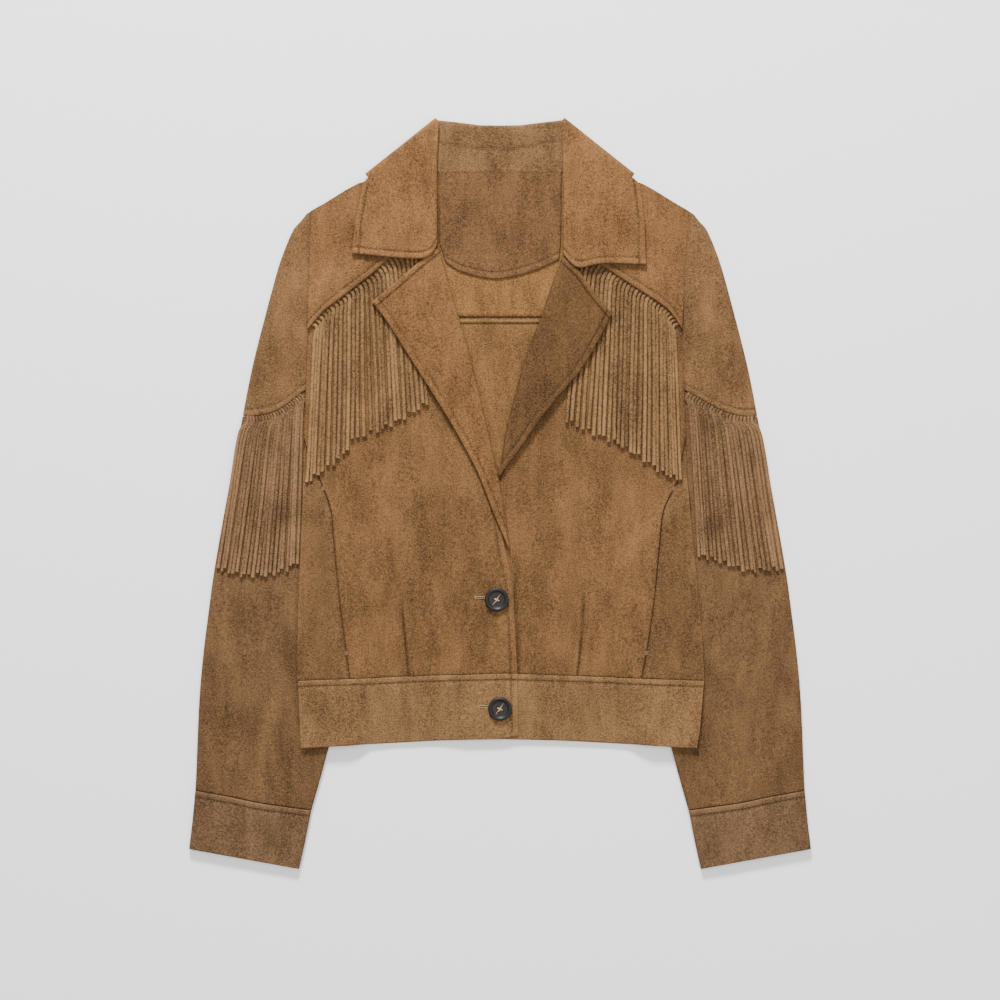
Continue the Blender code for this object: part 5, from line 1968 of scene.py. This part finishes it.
@dataclass
class Trim:
    """The four rows of fringe, the two buttons, the worked buttonholes with painted shade in their slits,
    and the bar tacks.
    """

    horn: bpy.types.Material
    pale: Thread
    slit_shade: Thread
    hole_reach: float = 20.5
    hole_rise: float = 2.2
    pocket_ends: Plan = (352.0, 508.0)

    def build(self, wardrobe: Wardrobe) -> None:
        """Make the trim.

        Args:
            wardrobe: what it is made with.
        """
        for side in Side:
            chest, cap = (soft_points(side_points(seam, side)) for seam in (YOKE_SEAM, CAP_SEAM))
            Fringe("fringe_chest_" + side.word, chest, side, CHEST_FRINGE[side],
                   lambda x, down: Stack.front(x, down) + CLOTH + 0.9, CHEST_STRANDS,
                   ("front_" + side.word,), True).build(wardrobe)
            Fringe("fringe_sleeve_" + side.word, cap, side, SLEEVE_FRINGE[side],
                   lambda x, down: SLEEVE_HEIGHT + 0.4, SLEEVE_STRANDS, ("sleeve_" + side.word,),
                   False).build(wardrobe)
            self.tacks(side, wardrobe.thread)
        for node, down, across in (("button_upper", 457.5, -3.0), ("button_lower", 561.1, 0.0)):
            Button(node, down, across, self.horn).build(wardrobe, self.pale)
            self.hole(down, across)

    def hole(self, down: float, across: float) -> None:
        """Work the end of a buttonhole that shows beside its button.

        Args:
            down: how far down from the collar's top.
            across: how far from the centre line.
        """
        def spot(reach: float, row: float) -> Place:
            """A place on the right front, from the hole's end and off its middle line."""
            x = across - self.hole_reach + reach
            return world((x, down - self.hole_rise + row), Stack.lapped(x, down) + CLOTH + 0.25)

        # The middle row is a dark bar of painted shade in the buttonhole's slit.
        sewn_rows = ((-0.75, self.pale, 0.24), (0.0, self.slit_shade, 0.5), (0.75, self.pale, 0.24))
        for row, thread, wide in sewn_rows:
            for k in range(5):
                thread.stitch(spot(k * 1.9, row), spot(1.8 + k * 1.9, row), wide, 0.3)
        self.pale.stitch(spot(-0.1, -1.2), spot(-0.1, 1.2), 0.26, 0.4)

    def tacks(self, side: Side, thread: Thread) -> None:
        """Sew a close bar across each end of a pocket.

        Args:
            side: which pocket.
            thread: what it is sewn with.
        """
        for down in self.pocket_ends:
            x = side.value * column(POCKET_SEAM, down, side.word)
            for k in range(7):
                at = down + (k - 3) * 0.55
                z = Stack.front(x, at) + CLOTH + 0.35
                thread.stitch(world((x - 1.7, at), z), world((x + 1.7, at), z), 0.26, 0.3)


@dataclass
class Studio:
    """The pale floor, the soft lights and the camera above."""

    camera_height: float = 2.6425
    centre_y: float = -0.0062
    lens: float = 100.0
    floor_reach: float = 6.0
    floor_height: float = -0.0004

    def build(self, floor_finish: bpy.types.Material) -> None:
        """Set up the floor, lights and camera.

        Args:
            floor_finish: the floor's finish.
        """
        mesh = bpy.data.meshes.new("floor")
        corners = [(x * self.floor_reach, y * self.floor_reach, self.floor_height)
                   for x, y in ((-1, -1), (1, -1), (1, 1), (-1, 1))]
        mesh.from_pydata(corners, [], [(0, 1, 2, 3)])
        mesh.materials.append(floor_finish)
        floor = put("floor", mesh)
        self.light("key", (-0.3, 2.5, 1.5), (0.55, 0.55), 205.0)
        self.light("fill", (1.4, -1.0, 2.6), (2.0, 2.0), 28.0)
        self.light("top", (0.0, 0.2, 3.2), (2.6, 2.6), 56.0)
        world_light = bpy.data.worlds.new("studio")
        world_light.use_nodes = True
        fill(world_light.node_tree.nodes["Background"], {"Color": (1.0, 1.0, 1.0, 1.0), "Strength": 0.58})
        bpy.context.scene.world = world_light
        lens = bpy.data.cameras.new("camera")
        lens.lens = self.lens
        lens.sensor_width = 36.0
        lens.clip_end = 30.0
        camera = put("camera", lens)
        camera.location = (0.0, self.centre_y, self.camera_height)
        bpy.context.scene.camera = camera

    @staticmethod
    def light(name: str, place: Place, size: Plan, power: float) -> None:
        """Hang one soft light that faces the jacket.

        Args:
            name: its name.
            place: where it hangs, in metres.
            size: its width and height in metres.
            power: its strength in watts.
        """
        lamp = bpy.data.lights.new(name, "AREA")
        lamp.shape = "RECTANGLE"
        lamp.size, lamp.size_y = size
        lamp.energy = power
        holder = put(name, lamp)
        holder.location = place
        aim = tuple(-part for part in place)
        flat = math.hypot(aim[0], aim[1])
        holder.rotation_euler = (math.atan2(flat, -aim[2]), 0.0, math.atan2(aim[0], -aim[1]) + math.pi)


def main() -> None:
    """Dress the jacket and set up the studio."""
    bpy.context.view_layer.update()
    nap = NapGroup()
    suede = {finish.name: finish.material(nap.tree) for finish in FINISHES}
    horn = Smooth("horn", (0.010, 0.009, 0.008), 0.42, 0.2, 0.22).material()
    pale = Thread("pale_thread")
    wardrobe = Wardrobe(suede, Thread("topstitching"))
    Studio().build(Smooth("paper", (0.93, 0.93, 0.93), 0.9, 0.1).material())
    for side in Side:
        Sleeve(side).build(wardrobe)
    Body().build(wardrobe)
    Collar(COLLAR, Relief(BODY_CREASES)).build(wardrobe)
    # Dark bars of painted shade for the buttonhole slits.
    slit_shade = Thread("buttonhole_slits")
    Trim(horn, pale, slit_shade).build(wardrobe)
    slit_shade.close(Smooth("slit shade", (0.020, 0.010, 0.005), 0.95).material())
    wardrobe.thread.close(Smooth("tan thread", (0.130, 0.066, 0.027), 0.85).material())
    pale.close(Smooth("pale thread", (0.40, 0.27, 0.13), 0.8).material())
    LOG.info("%d pieces dressed", len(wardrobe.made))


if __name__ == "__main__":
    logging.basicConfig(level=logging.INFO, format="%(message)s")
    main()
